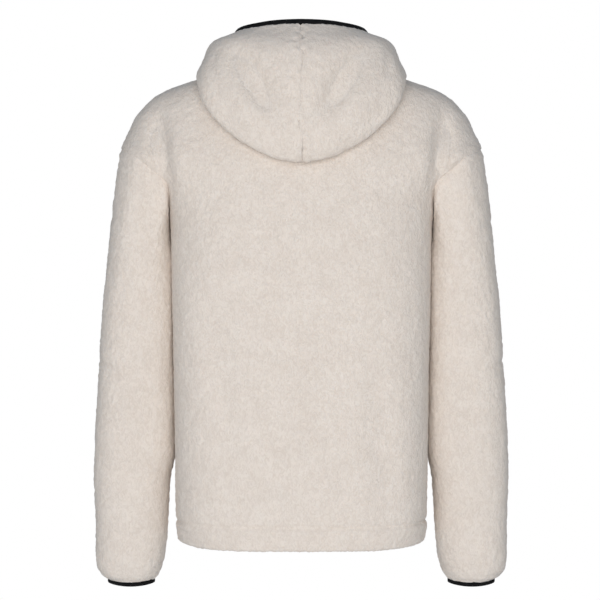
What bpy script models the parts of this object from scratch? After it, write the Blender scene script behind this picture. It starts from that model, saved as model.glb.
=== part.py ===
"""Fleece zip-up hoodie, filled out, with the hood down on the back.

The front faces -Y, the back +Y, and the left side is +X. The origin is the middle of the neck
base. All sizes here are in millimetres, and build_object turns them into metres.
"""

import math

import bpy
import bmesh
import numpy as np
from mathutils import Vector
from mathutils.bvhtree import BVHTree

MM = 0.001

# Cloth and seams
WALL = 5.0  # fleece and its pile together
SEAM_GAP = 0.3
TURN_REACH = 11.0  # how far from a seam the wall turns towards the seam's own direction

# Rows and columns of each panel
ROWS_BELOW_ARMPIT = 13
ROWS_ALONG_ARMHOLE = 10
ROWS_ALONG_SHOULDER = 8
COLUMNS_HALF_BACK = 13
COLUMNS_FRONT = 12
SLEEVE_TOP_ROWS = 6
SLEEVE_LOW_ROWS = 9
CUFF_ROWS = 6
CUFF_ROWS_START = 6  # the row of SLEEVE from which the rings lie closer
HOOD_ROWS = 16
SECTION_SAMPLES = 400
CURVE_STEPS = 20
DETAIL = 4  # the forms are worked out this many times finer than the solids, for even walls
SHARP_ANGLE = 50.0

# Body: neck drops and the zip's gap
BACK_NECK_DROP = 15.0
FRONT_NECK_DROP = 75.0
BACK_DROP_REACH = 60.0
FRONT_DROP_REACH = 190.0
ZIP_HALF_GAP = 6.0
HEM_LIFT_AT_SIDES = 9.0
HEM_LIFT_REACH = 60.0
ARMHOLE_CENTRE_INSET = 25.0  # how far the armhole's middle lies beyond its innermost point
SOFTEN_REACH = 26.0  # the panels' depth is evened out over this much of their height
SOFTEN_FROM_SEAM = 45.0
SOFTEN_FROM_ENDS = 70.0


def table(names, rows):
    """A short table as a dictionary of columns."""
    return dict(zip(names.split(), np.array(rows, float).T))


# Half of the body at each height: the width of the whole section, where the panel ends in its seam or
# armhole, how far the back and the front stand off the side seam, and how square the section is.
BODY = table(
    "height half_width seam_x back front squareness",
    [
        (-683, 177.5, 177.5, 120, 111, 2.95),
        (-650, 181, 181, 125, 116, 3.15),
        (-600, 182, 182, 127, 118, 3.35),
        (-500, 183, 183, 128, 120, 3.45),
        (-400, 185, 185, 129, 121, 3.45),
        (-300, 187.5, 187.5, 129, 122, 3.3),
        (-250, 188.5, 188.5, 128, 122, 3.1),
        (-215, 190, 190, 127, 121, 2.9),
        (-200, 192, 190.5, 126, 120, 2.82),
        (-185, 197.5, 192, 125, 119, 2.75),
        (-167, 212, 197, 123, 117, 2.67),
        (-145, 240, 215, 120, 114, 2.6),
        (-123, 264.5, 240, 115, 110, 2.54),
        (-111, 261, 261, 112, 107, 2.50),
        (-87, 249.5, 249.5, 105, 102, 2.45),
        (-68, 240.8, 240.8, 100, 98, 2.40),
        (-51, 227.3, 227.3, 95, 95, 2.35),
        (-38, 213.3, 213.3, 90, 92, 2.30),
        (-27, 193.2, 193.2, 86, 89, 2.30),
        (-19, 171.3, 171.3, 82, 87, 2.25),
        (-11.5, 148.5, 148.5, 78, 85, 2.20),
        (-5, 122, 122, 74, 84, 2.20),
        (0, 90, 90, 70, 84, 2.20),
    ],
)
ARMPIT_ROW = 7
SHOULDER_TIP_ROW = 13

# Sleeve rings below the armhole
SLEEVE = table(
    "height centre_x centre_y half_width half_depth squareness",
    [
        (-300, 236.5, -8, 48.2, 64, 2.4),
        (-340, 238.5, -10, 50.4, 63, 2.5),
        (-446, 241.5, -14, 54.2, 61, 2.6),
        (-546, 242, -17, 59.2, 58, 2.6),
        (-591, 246, -18, 56, 55, 2.6),
        (-647, 246.5, -19, 53.5, 51, 2.5),
        (-702, 249, -20, 51, 47, 2.4),
        (-719, 250, -20, 47.5, 43, 2.3),
        (-730, 249.5, -20, 42, 37.5, 2.15),
        (-736, 247.5, -20, 35, 31, 2.0),
    ],
)
CUFF_DIP = 3.5  # how far the cuff's edge dips at the back and the front
CUFF_DIP_FROM = -690.0
# How the sleeve leaves the armhole at the armpit and at the shoulder tip
LEAVE_ARMPIT = (0.16, -0.08, -0.98)
LEAVE_TIP = (0.2, -0.02, -0.98)
LEAVE_SIDES = (0.12, -0.04, -0.98)

# Hood profile at each turn from the front (0) to the back (180), as distance out and height of its
# points: under the fold, at the fold, and up over the bulge to the rim.
HOOD = table(
    "turn under_out under_up lower_out lower_up fold_out fold_up low_out low_up"
    " bulge_out bulge_up top_out top_up rim_out rim_up",
    [
        (0, 86, -72, 87, -69.5, 87.5, -67, 88, -65, 88, -62, 87.5, -60, 87, -57),
        (30, 89, -57, 94, -54, 98, -49, 101, -43, 101, -36, 98, -28, 93, -21),
        (60, 97, -26, 107, -30, 118, -29, 127, -20, 131, -5, 122, 17, 103, 26),
        (90, 103, -5, 120, -8, 139, -8, 147, -4, 142, 12, 130, 37, 100, 50),
        (110, 105, -12, 130, -20, 151, -22, 160, -11, 149, 13, 134, 41, 101, 55),
        (129, 107, -30, 140, -52, 166, -66, 177, -46, 168, -11, 142, 36, 102, 57),
        (142, 100, -40, 124, -76, 149, -103, 164, -84, 165, -40, 142, 28, 102, 58),
        (152, 96, -44, 115, -88, 139, -119, 155, -100, 161, -54, 141, 22, 100, 59.5),
        (164, 92, -47, 108, -96, 131, -132, 148, -113, 155, -65, 139, 18, 98, 60.5),
        (180, 90, -49, 106, -98, 127, -138, 144, -119, 152, -70, 138, 15, 97, 61),
    ],
)
HOOD_REST_GAP = 3.0  # the hood lies on the body with this much between them, pile and all
HOOD_GAP_ROWS = 1.5  # rows over which that gap opens from the neck seam
HOOD_SHOWS_FROM = 0.45  # share of the hood's way from the neck seam where its outside comes into view
SEAM_TURN_UP_AT_BACK = 48.0  # degrees: the neck seam points up at the back, and level at the front

# Trims
BINDING_HEIGHT = 9.0
BINDING_INSET = 0.14  # of the wall's thickness, on each face
BINDING_STANDS_UP = 1.0  # how much more upright than the hood's edge its binding stands
CUFF_BINDING_HEIGHT = 6.0
TAPE_WIDTH = 13.0
TAPE_THICKNESS = 1.2
TAPE_DEPTH = WALL + 0.9  # from the fleece's face to the tape's
ZIP_CENTRE_GAP = 0.15

# Zip slider, in its own frame: across, outward from the fleece's face, and down the zip
SLIDER_HEIGHT = -97.0
SLIDER_HALF_LENGTH = 6.0
SLIDER_HALF_WIDTH = 4.4
SLIDER_FLANGE = 1.2
SLIDER_FACE = -0.6
SLIDER_PLATE = 1.8
SLIDER_FOOT_SHARE = 0.84  # how wide the slider's lower end is beside its upper one
PART_CLEARANCE = 0.3
BAIL_HALF_WIDTH = 1.1
BAIL_HALF_LENGTH = 4.0
BAIL_TOP = 4.1
BAIL_THICKNESS = 1.4
HINGE_OUT = 1.2  # the pull tab's bar turns here, inside the bail
PULL_THICKNESS = 1.6
PULL_OUTLINE = ((-3.0, -0.8), (3.0, -0.8), (3.2, 5.0), (4.0, 9.0), (4.0, 23.0), (2.6, 25.5), (-2.6, 25.5),
                (-4.0, 23.0), (-4.0, 9.0), (-3.2, 5.0))
PULL_EYE = ((-1.7, 0.8), (1.7, 0.8), (1.7, 3.2), (1.7, 5.0), (1.3, 6.4), (0.6, 6.8), (-0.6, 6.8),
            (-1.3, 6.4), (-1.7, 5.0), (-1.7, 3.2))
BOX_HALF_WIDTH = 4.0
BOX_LENGTH = 11.0
BOX_THICKNESS = 3.6
BOX_ABOVE_HEM = 3.0

# Soft folds as curves seen from behind or in front: start, middle and end (across, up), depth and half width
FOLDS = table(
    "side start_x start_z middle_x middle_z end_x end_z depth reach",
    [
        (1, 208, -62, 200, -118, 195, -178, 13, 15),
        (1, -206, -66, -199, -120, -194, -178, 13, 15),
        (1, 126, -335, 113, -450, 98, -560, 5, 22),
        (1, -102, -430, -111, -530, -125, -655, 5, 22),
        (1, 60, -560, 30, -600, -20, -625, 2.5, 16),
        (-1, 206, -64, 200, -118, 195, -178, 13, 15),
        (-1, -207, -64, -200, -119, -194, -178, 13, 15),
        (-1, 104, -270, 118, -430, 124, -620, 5, 24),
        (-1, -108, -240, -116, -380, -130, -590, 6, 24),
        (-1, 62, -130, 88, -190, 96, -250, 4, 20),
        (-1, -58, -130, -84, -185, -95, -240, 4, 20),
    ],
)
HOOD_FOLDS = table(
    "start_x start_z middle_x middle_z end_x end_z depth reach",
    [
        (92, 26, 62, -24, 24, -84, 10.5, 19),
        (-89, 30, -56, -26, -20, -86, 10.5, 19),
        (124, 34, 127, 12, 122, -10, 3, 7),
        (-122, 36, -126, 12, -121, -12, 3, 7),
        (0, -60, 0, -90, 0, -128, -3, 6),
    ],
)
CREASE_SAMPLES = 25
CREASE_TAPER = 0.08  # how far a crease's ends are from fading out wholly
FOLD_FADE = 14.0  # folds fade out this close to the side, shoulder and armhole seams

# Colours
FLEECE_COLOUR = (0.72, 0.66, 0.60)
BLACK = (0.012, 0.012, 0.013)
DARK_METAL = (0.03, 0.03, 0.032)


def unit(vectors):
    return vectors / np.maximum(np.linalg.norm(vectors, axis=-1, keepdims=True), 1e-9)


def smooth_through(knots, values, at):
    """A smooth curve through the values that never overshoots them."""
    step = np.diff(knots)
    slope = np.diff(values) / step
    lean = np.empty(len(knots))
    lean[0], lean[-1] = slope[0], slope[-1]
    same_way = slope[:-1] * slope[1:] > 0
    before = np.where(same_way, slope[:-1], 1)
    after = np.where(same_way, slope[1:], 1)
    first = 2 * step[1:] + step[:-1]
    second = step[1:] + 2 * step[:-1]
    lean[1:-1] = np.where(same_way, (first + second) / (first / before + second / after), 0)
    index = np.clip(np.searchsorted(knots, at, side="right") - 1, 0, len(step) - 1)
    t = (at - knots[index]) / step[index]
    return (
        (1 + 2 * t) * (1 - t) ** 2 * values[index]
        + t * (1 - t) ** 2 * step[index] * lean[index]
        + t * t * (3 - 2 * t) * values[index + 1]
        + t * t * (t - 1) * step[index] * lean[index + 1]
    )


def crease(x, z, start, middle, end, reach):
    """How strongly, from 0 to 1, each point feels a soft crease on the curve from start to end."""
    t = np.linspace(0, 1, CREASE_SAMPLES)
    path_x = (1 - t) ** 2 * start[0] + 2 * t * (1 - t) * middle[0] + t * t * end[0]
    path_z = (1 - t) ** 2 * start[1] + 2 * t * (1 - t) * middle[1] + t * t * end[1]
    far = np.hypot(x[..., None] - path_x, z[..., None] - path_z)
    strength = np.sin(np.pi * (CREASE_TAPER + (1 - 2 * CREASE_TAPER) * t))
    return (strength * np.exp(-((far / reach) ** 2))).max(axis=-1)


def fold_depth(folds, chosen, x, z):
    """Total depth of the chosen rows of a table of folds."""
    depth = np.zeros_like(x)
    for i in chosen:
        start = folds["start_x"][i], folds["start_z"][i]
        middle = folds["middle_x"][i], folds["middle_z"][i]
        end = folds["end_x"][i], folds["end_z"][i]
        depth += folds["depth"][i] * crease(x, z, start, middle, end, folds["reach"][i])
    return depth


def body_travel():
    """Distance along the side seam, the armhole and the shoulder seam, at each row of BODY."""
    steps = np.hypot(np.diff(BODY["seam_x"]), np.diff(BODY["height"]))
    return np.concatenate([[0], np.cumsum(steps)])


def body_rows(detail):
    """Where the body's rows lie along the side, and the numbers of the armpit's and the tip's row."""
    travel = body_travel()
    armpit, tip = travel[ARMPIT_ROW], travel[SHOULDER_TIP_ROW]
    below = np.linspace(0, armpit, ROWS_BELOW_ARMPIT * detail + 1)
    beside = np.linspace(armpit, tip, ROWS_ALONG_ARMHOLE * detail + 1)
    above = np.linspace(tip, travel[-1], ROWS_ALONG_SHOULDER * detail + 1)
    rows = np.concatenate([below, beside[1:], above[1:]])
    return rows, len(below) - 1, len(below) + len(beside) - 2


def half_section(half_width, seam_x, depth, power, last_x):
    """Half of a rounded-square section, from the seam to last_x, with the distance along it."""
    start = math.acos(min(1.0, (seam_x / half_width) ** (power / 2)))
    end = math.acos((last_x / half_width) ** (power / 2))
    angle = np.linspace(start, end, SECTION_SAMPLES)
    x = half_width * np.cos(angle) ** (2 / power)
    y = depth * np.sin(angle) ** (2 / power)
    x[0], x[-1] = seam_x, last_x
    return x, y, np.concatenate([[0], np.cumsum(np.hypot(np.diff(x), np.diff(y)))])


def even_lengths(lengths, heights, armpit, tip):
    """Row lengths that change evenly up the armhole, where the rows' own ends jump outwards."""
    even = lengths.copy()
    beside = slice(armpit, tip + 1)
    even[beside] = np.interp(heights[beside], heights[[armpit, tip]], lengths[[armpit, tip]])
    return even


def softened(grid, rows, lengths):
    """The grid with its form evened out up the rows, except near the seams, the hem and the neck."""
    weights = np.exp(-(((rows[:, None] - rows[None]) / SOFTEN_REACH) ** 2)) * np.gradient(rows)
    weights = weights / weights.sum(axis=1, keepdims=True)
    even = np.tensordot(weights, grid[..., :2], axes=1)
    from_seam = lengths[:, None] * np.linspace(0, 1, grid.shape[1])
    from_end = np.minimum(rows, rows[-1] - rows)[:, None]
    share = 1 - np.exp(-((from_seam / SOFTEN_FROM_SEAM) ** 2))
    share = share * (1 - np.exp(-((from_end / SOFTEN_FROM_ENDS) ** 2)))
    made = grid.copy()
    made[..., :2] += (even - grid[..., :2]) * share[..., None]
    return made


def body_half(facing, last_x, count):
    """Grid of one half of the back (facing 1) or of the front (facing -1), from the seam to the middle."""
    travel = body_travel()
    rows, armpit, tip = body_rows(DETAIL)
    at = {name: smooth_through(travel, values, rows) for name, values in BODY.items()}
    depths = at["back"] if facing > 0 else at["front"]
    drop = BACK_NECK_DROP if facing > 0 else FRONT_NECK_DROP
    reach = BACK_DROP_REACH if facing > 0 else FRONT_DROP_REACH
    seam_x = np.minimum(at["seam_x"], at["half_width"])
    sections = [
        half_section(at["half_width"][i], seam_x[i], depths[i], at["squareness"][i], last_x)
        for i in range(len(rows))
    ]
    lengths = np.array([section[2][-1] for section in sections])
    even = even_lengths(lengths, at["height"], armpit, tip)
    from_middle = np.linspace(1, 0, count * DETAIL + 1)
    grid = np.zeros((len(rows), len(from_middle), 3))
    for i, (section_x, section_y, along) in enumerate(sections):
        position = lengths[i] - even[i] * from_middle - (lengths[i] - even[i]) * from_middle**3
        x = np.interp(position, along, section_x)
        y = np.interp(position, along, section_y)
        share = x / seam_x[i]
        height = at["height"][i]
        near_neck = max(0.0, 1 + height / reach)
        near_neck = near_neck * near_neck * (3 - 2 * near_neck)
        narrow = 1 + 2 * (1 - near_neck)
        z = height - drop * near_neck * (1 - share**2) ** narrow
        near_hem = max(0.0, 1 - (height - BODY["height"][0]) / HEM_LIFT_REACH)
        z = z + HEM_LIFT_AT_SIDES * near_hem * share**6
        grid[i] = np.stack([x, facing * y, z], axis=1)
    return softened(grid, rows, lengths)


def outward_normals(grid, away_from, wraps=False):
    """Unit normals of a grid of points, on the side that faces away from the given point or points."""
    if wraps:
        padded = np.concatenate([grid[:, -1:], grid, grid[:, :1]], axis=1)
        across = (padded[:, 2:] - padded[:, :-2]) / 2
    else:
        across = np.gradient(grid, axis=1)
    along = np.gradient(grid, axis=0)
    normals = unit(np.cross(across, along))
    if (normals * (grid - away_from)).sum() < 0:
        normals = -normals
    return normals


def sink_folds(grid, normals, depth):
    return grid - normals * depth[..., None]


def level(normals):
    """The same directions, laid level, so that rows close together never cross."""
    return unit(normals * np.array([1.0, 1.0, 0.0]))


def mirrored(grid):
    return grid * np.array([-1.0, 1.0, 1.0])


def with_folds(half, facing, side):
    """Half of a body panel on one side of the middle, with its soft folds pressed in."""
    grid = half if side > 0 else mirrored(half)
    normals = outward_normals(grid, body_axis(grid))
    chosen = np.flatnonzero(FOLDS["side"] == facing)
    depth = fold_depth(FOLDS, chosen, grid[..., 0], grid[..., 2])
    # The seams at the tip, the armpit and the shoulder stay where both panels have them.
    fade = 1 - np.exp(-((grid[..., 1] / FOLD_FADE) ** 2))
    return sink_folds(grid, level(normals), depth * fade)


def body_axis(grid):
    """Points on the body's upright middle line, at the grid's heights."""
    axis = np.zeros_like(grid)
    axis[..., 2] = np.minimum(grid[..., 2], -60)
    return axis


def armhole_frame(loop):
    """For each point of the armhole: the direction into the wall, and the one from body to sleeve."""
    side = np.sign(loop[0, 0])
    low, high = loop[:, 2].min(), loop[:, 2].max()
    rise = (loop[:, 2] - low) / (high - low)
    centre_x = np.abs(loop[:, 0]).min() + ARMHOLE_CENTRE_INSET
    inward = np.stack(
        [
            side * (centre_x - np.abs(loop[:, 0])) * 2 * rise**2,
            -loop[:, 1],
            (low + high) / 2 - loop[:, 2],
        ],
        axis=1,
    )
    inward = unit(inward)
    tangent = unit(np.roll(loop, -1, axis=0) - np.roll(loop, 1, axis=0))
    apart = unit(np.cross(tangent, inward))
    to_sleeve = apart * np.array([side, 0, -1.0])
    return inward, np.where(to_sleeve.sum(axis=1, keepdims=True) < 0, -apart, apart)


def neck_frame(ring):
    """For each point of the neck seam: the direction into the wall, and the one from body to hood."""
    turn = np.arctan2(np.abs(ring[:, 0]), -ring[:, 1])
    rise = np.radians(SEAM_TURN_UP_AT_BACK) * np.sin(turn / 2) ** 1.5
    radial = unit(ring * np.array([1.0, 1.0, 0.0]))
    upward = np.array([0.0, 0.0, 1.0])
    inward = -radial * np.cos(rise)[:, None] + upward * np.sin(rise)[:, None]
    apart = radial * np.sin(rise)[:, None] + upward * np.cos(rise)[:, None]
    return inward, apart


def wall_inner(outer, normals, seams):
    """Inner face of a wall. Near each seam (points, inward directions) it turns to that direction."""
    inward = -normals.copy()
    flat = outer.reshape(-1, 3)
    for points, directions in seams:
        far = np.linalg.norm(flat[:, None] - points[None], axis=2)
        nearest = far.argmin(axis=1)
        share = np.exp(-((far.min(axis=1) / TURN_REACH) ** 2)).reshape(outer.shape[:2])[..., None]
        inward = inward * (1 - share) + directions[nearest].reshape(outer.shape) * share
    return outer + WALL * unit(inward)


def part_seam(outer, inner, index, shift):
    """Moves the points of one border, outside and inside, by the shift."""
    outer[index] += shift
    inner[index] += shift


def along_the_cloth(outer, index, beside):
    """Half a seam's gap, from a border towards the next column or row."""
    return unit(outer[beside] - outer[index]) * SEAM_GAP / 2


def grid_faces(grid, wraps=False):
    """Two triangles for each cell of a grid, which meet on the cell's shorter diagonal."""
    rows, columns = grid.shape[:2]
    flat = grid.reshape(-1, 3)
    faces = []
    for i in range(rows - 1):
        for j in range(columns if wraps else columns - 1):
            k = (j + 1) % columns
            a, b, c, d = i * columns + j, i * columns + k, (i + 1) * columns + k, (i + 1) * columns + j
            if np.linalg.norm(flat[a] - flat[c]) <= np.linalg.norm(flat[b] - flat[d]):
                faces += [(a, b, c), (a, c, d)]
            else:
                faces += [(a, b, d), (b, c, d)]
    return faces


def turned_over(faces, offset):
    """The same faces seen from the other side, on points numbered from the offset."""
    return [tuple(offset + number for number in reversed(face)) for face in faces]


def rim_faces(outline, offset):
    """Faces that join the outer grid's border, as pairs of numbers, to the inner grid's."""
    return [(a, b, b + offset, a + offset) for a, b in outline]


def wall_mesh(outer, inner, wraps=False):
    """Points and faces of the closed wall between two grids of the same size."""
    rows, columns = outer.shape[:2]
    offset = rows * columns
    number = np.arange(offset).reshape(rows, columns)
    faces = grid_faces(outer, wraps)
    faces += turned_over(faces, offset)
    bottom = list(number[0]) + ([number[0, 0]] if wraps else [])
    top = list(number[-1]) + ([number[-1, 0]] if wraps else [])
    outline = list(zip(bottom[1:], bottom[:-1])) + list(zip(top[:-1], top[1:]))
    if not wraps:
        outline += list(zip(number[:-1, 0], number[1:, 0])) + list(zip(number[1:, -1], number[:-1, -1]))
    faces += rim_faces([(int(a), int(b)) for a, b in outline], offset)
    points = np.concatenate([outer.reshape(-1, 3), inner.reshape(-1, 3)])
    return points, faces


def material(name, colour, roughness, metallic=0.0):
    made = bpy.data.materials.new(name)
    made.use_nodes = True
    shader = made.node_tree.nodes["Principled BSDF"]
    shader.inputs["Base Color"].default_value = (*colour, 1.0)
    shader.inputs["Roughness"].default_value = roughness
    shader.inputs["Metallic"].default_value = metallic
    made.diffuse_color = (*colour, 1.0)
    return made


def build_object(name, points, faces, finish, origin=(0.0, 0.0, 0.0)):
    """A mesh object from points in millimetres, with its own origin."""
    mesh = bpy.data.meshes.new(name)
    centre = np.array(origin, float)
    mesh.from_pydata([tuple(p) for p in (np.asarray(points) - centre) * MM], [], faces)
    shape = bmesh.new()
    shape.from_mesh(mesh)
    bmesh.ops.recalc_face_normals(shape, faces=shape.faces)
    shape.to_mesh(mesh)
    shape.free()
    mesh.shade_smooth()
    mesh.set_sharp_from_angle(angle=math.radians(SHARP_ANGLE))
    mesh.materials.append(finish)
    made = bpy.data.objects.new(name, mesh)
    made.location = centre * MM
    bpy.context.scene.collection.objects.link(made)
    return made


def armhole_loop(back, front, detail):
    """The armhole's points: from the armpit up the back to the tip, and down the front."""
    _, armpit, tip = body_rows(detail)
    return np.concatenate([back[armpit : tip + 1, 0], front[armpit + 1 : tip, 0][::-1]])


def neck_ring(back, front):
    """The neck seam's points on one side, from the zip round to the middle of the back."""
    return np.concatenate([front[-1, ::-1], back[-1, 1:]])


def even_seam_normals(back_normals, front_normals):
    """Gives both panels the same direction along the side seam and the shoulder seam."""
    _, armpit, tip = body_rows(DETAIL)
    for rows in (slice(0, armpit), slice(tip, None)):
        shared = unit(back_normals[rows, 0] + front_normals[rows, 0])
        back_normals[rows, 0] = shared
        front_normals[rows, 0] = shared


def every(grid):
    """The grid's points that the solids keep."""
    return grid[::DETAIL, ::DETAIL].copy()


def body_side(side):
    """Outer and inner grids of half the back and of one front, with the seams' frames."""
    back = with_folds(body_half(1, 0.0, COLUMNS_HALF_BACK), 1, side)
    front = with_folds(body_half(-1, ZIP_HALF_GAP, COLUMNS_FRONT), -1, side)
    back_normals = outward_normals(back, body_axis(back))
    front_normals = outward_normals(front, body_axis(front))
    even_seam_normals(back_normals, front_normals)
    back_normals[:, -1] = unit(back_normals[:, -1] * np.array([0.0, 1.0, 1.0]))
    fine_loop = armhole_loop(back, front, DETAIL)
    fine_ring = neck_ring(back, front)
    back, front, back_normals, front_normals = (every(g) for g in (back, front, back_normals, front_normals))
    _, armpit, tip = body_rows(1)
    loop = armhole_loop(back, front, 1)
    into_wall, to_sleeve = armhole_frame(loop)
    ring = neck_ring(back, front)
    neck_in, to_hood = neck_frame(ring)
    seams = [(loop, into_wall), (ring, neck_in)]
    back_inner = wall_inner(back, back_normals, seams)
    front_inner = wall_inner(front, front_normals, seams)
    half = SEAM_GAP / 2
    back_in_loop = slice(armpit, tip + 1)
    front_in_loop = slice(armpit, tip + 1)
    count = tip - armpit + 1
    back_shift = -half * to_sleeve[:count]
    front_order = [0] + list(range(len(loop) - 1, count - 2, -1))
    front_shift = -half * to_sleeve[front_order]
    columns = front.shape[1]
    neck_front = -half * to_hood[:columns][::-1]
    neck_back = -half * to_hood[columns - 1 :]
    for outer, inner, loop_rows, loop_shift, neck_shift in (
        (back, back_inner, back_in_loop, back_shift, neck_back),
        (front, front_inner, front_in_loop, front_shift, neck_front),
    ):
        gap = along_the_cloth(outer, (slice(None), 0), (slice(None), 1))
        part_seam(outer, inner, (slice(0, armpit + 1), 0), gap[: armpit + 1])
        part_seam(outer, inner, (slice(tip, None), 0), gap[tip:])
        part_seam(outer, inner, (loop_rows, 0), loop_shift)
        part_seam(outer, inner, (-1, slice(None)), neck_shift)
    return {
        "back": (back, back_inner),
        "front": (front, front_inner),
        "front_normals": front_normals,
        "loop": (loop, into_wall, to_sleeve, fine_loop),
        "ring": (ring, neck_in, to_hood, fine_ring),
    }


def sleeve_ring(height, turns, side):
    down = np.array([-height])
    at = {name: smooth_through(-SLEEVE["height"], values, down)[0] for name, values in SLEEVE.items()}
    across, deep = np.cos(turns), np.sin(turns)
    power = 2 / at["squareness"]
    x = at["centre_x"] + at["half_width"] * np.sign(across) * np.abs(across) ** power
    y = at["centre_y"] + at["half_depth"] * np.sign(deep) * np.abs(deep) ** power
    share = min(1.0, max(0.0, (height - CUFF_DIP_FROM) / (SLEEVE["height"][-1] - CUFF_DIP_FROM)))
    return np.stack([side * x, y, height - CUFF_DIP * share * share * deep**2], axis=1)


def loop_turns(loop):
    """Where each armhole point goes round the sleeve: pi at the armpit, 0 at the shoulder tip."""
    count = len(loop) // 2
    closed = np.concatenate([loop, loop[:1]])
    steps = np.linalg.norm(np.diff(closed, axis=0), axis=1)
    up = np.concatenate([[0], np.cumsum(steps[:count])])
    down = np.concatenate([[0], np.cumsum(steps[count:])])
    back = np.pi * (1 - up / up[-1])
    front = -np.pi * down / down[-1]
    return np.concatenate([back, front[1:-1]])


def leaving_direction(turns, side):
    """Which way the sleeve's cloth leaves the armhole."""
    at_tip = np.clip(np.cos(turns), 0, 1)[:, None]
    at_armpit = np.clip(-np.cos(turns), 0, 1)[:, None]
    direction = (
        np.array(LEAVE_TIP) * at_tip
        + np.array(LEAVE_ARMPIT) * at_armpit
        + np.array(LEAVE_SIDES) * (1 - at_tip - at_armpit)
    )
    return unit(direction * np.array([side, 1.0, 1.0]))


def sleeve_grid(loop, side):
    """Rings of the sleeve from the armhole down to the cuff."""
    turns = loop_turns(loop)
    top = SLEEVE["height"][0]
    first_ring = sleeve_ring(top, turns, side)
    second_ring = sleeve_ring(top - 1, turns, side)
    length = np.linalg.norm(first_ring - loop, axis=1)[:, None]
    leaving = leaving_direction(turns, side) * length
    arriving = (second_ring - first_ring) * length
    rings = []
    for t in np.linspace(0, 1, SLEEVE_TOP_ROWS * DETAIL + 1)[:-1]:
        rings.append(
            (1 + 2 * t) * (1 - t) ** 2 * loop
            + t * (1 - t) ** 2 * leaving
            + t * t * (3 - 2 * t) * first_ring
            + t * t * (t - 1) * arriving
        )
    travel = np.concatenate(
        [[0], np.cumsum(np.hypot(np.diff(SLEEVE["height"]), np.diff(SLEEVE["half_width"])))]
    )
    cuff_start = travel[CUFF_ROWS_START]
    straight = np.linspace(0, cuff_start, SLEEVE_LOW_ROWS * DETAIL + 1)
    rounded = np.linspace(cuff_start, travel[-1], CUFF_ROWS * DETAIL + 1)
    for s in np.concatenate([straight, rounded[1:]]):
        height = smooth_through(travel, SLEEVE["height"], np.array([s]))[0]
        rings.append(sleeve_ring(height, turns, side))
    return np.array(rings)


def sleeve_walls(side, seam):
    """Outer and inner grids of a sleeve, and the cuff ring that its binding follows."""
    loop, into_wall, to_sleeve, fine_loop = seam
    fine = sleeve_grid(fine_loop, side)
    axis = fine.mean(axis=1, keepdims=True)
    normals = every(outward_normals(fine, axis, wraps=True))
    outer = every(fine)
    cuff = outer[-1]
    level_in = unit((axis[-1] - cuff) * np.array([1.0, 1.0, 0.0]))
    inner = wall_inner(outer, normals, [(loop, into_wall), (cuff, level_in)])
    part_seam(outer, inner, 0, SEAM_GAP / 2 * to_sleeve)
    return outer, inner


def hood_profile(ring_point, turn):
    """Control points of the hood above one point of the neck seam."""
    at = {name: smooth_through(HOOD["turn"], values, np.array([turn]))[0] for name, values in HOOD.items()}
    outward = unit(ring_point * np.array([1.0, 1.0, 0.0]))
    points = [ring_point]
    for name in ("under", "lower", "fold", "low", "bulge", "top", "rim"):
        points.append(outward * at[name + "_out"] + np.array([0.0, 0.0, at[name + "_up"]]))
    return np.array(points)


def through_points(points, count):
    """Evenly spaced points on a smooth curve through the given points."""
    padded = np.concatenate([[2 * points[0] - points[1]], points, [2 * points[-1] - points[-2]]])
    pieces = []
    t = np.linspace(0, 1, CURVE_STEPS + 1)[:-1, None]
    for a, b, c, d in zip(padded, padded[1:], padded[2:], padded[3:]):
        pieces.append(
            0.5 * (2 * b + (c - a) * t + (2 * a - 5 * b + 4 * c - d) * t * t + (3 * b - a - 3 * c + d) * t**3)
        )
    curve = np.concatenate(pieces + [points[-1:]])
    along = np.concatenate([[0], np.cumsum(np.linalg.norm(np.diff(curve, axis=0), axis=1))])
    at = np.linspace(0, along[-1], count + 1)
    return np.stack([np.interp(at, along, curve[:, k]) for k in range(3)], axis=1)


def keep_off(rows, tree, gaps):
    """Moves the points of each row that lie on or in the body out to the row's gap."""
    moved = rows.copy()
    for row, gap in zip(moved, gaps):
        for point in row:
            place, normal, _, _ = tree.find_nearest(Vector(point))
            height = (Vector(point) - place).dot(normal)
            if height < gap:
                point += (gap - height) * np.array(normal)
    return moved


def body_tree(parts):
    """The body's outer faces on one side, for the hood to lie on."""
    corners = []
    faces = []
    for name in ("back", "front"):
        outer = parts[name][0]
        flat = outer.reshape(-1, 3)
        normals = outward_normals(outer, body_axis(outer)).reshape(-1, 3)
        start = len(corners)
        corners += [Vector(point) for point in flat]
        for a, b, c in grid_faces(outer):
            faces_out = np.cross(flat[b] - flat[a], flat[c] - flat[a]).dot(normals[a]) > 0
            second, third = (b, c) if faces_out else (c, b)
            faces.append((start + a, start + second, start + third))
    return BVHTree.FromPolygons(corners, faces)


def hood_normals(grid):
    """Unit normals on the side that shows: outwards over the bulge."""
    normals = unit(np.cross(np.gradient(grid, axis=1), np.gradient(grid, axis=0)))
    if normals[len(grid) * 3 // 4, -2][1] < 0:
        normals = -normals
    normals[:, -1] = unit(normals[:, -1] * np.array([0.0, 1.0, 1.0]))
    return normals


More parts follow.
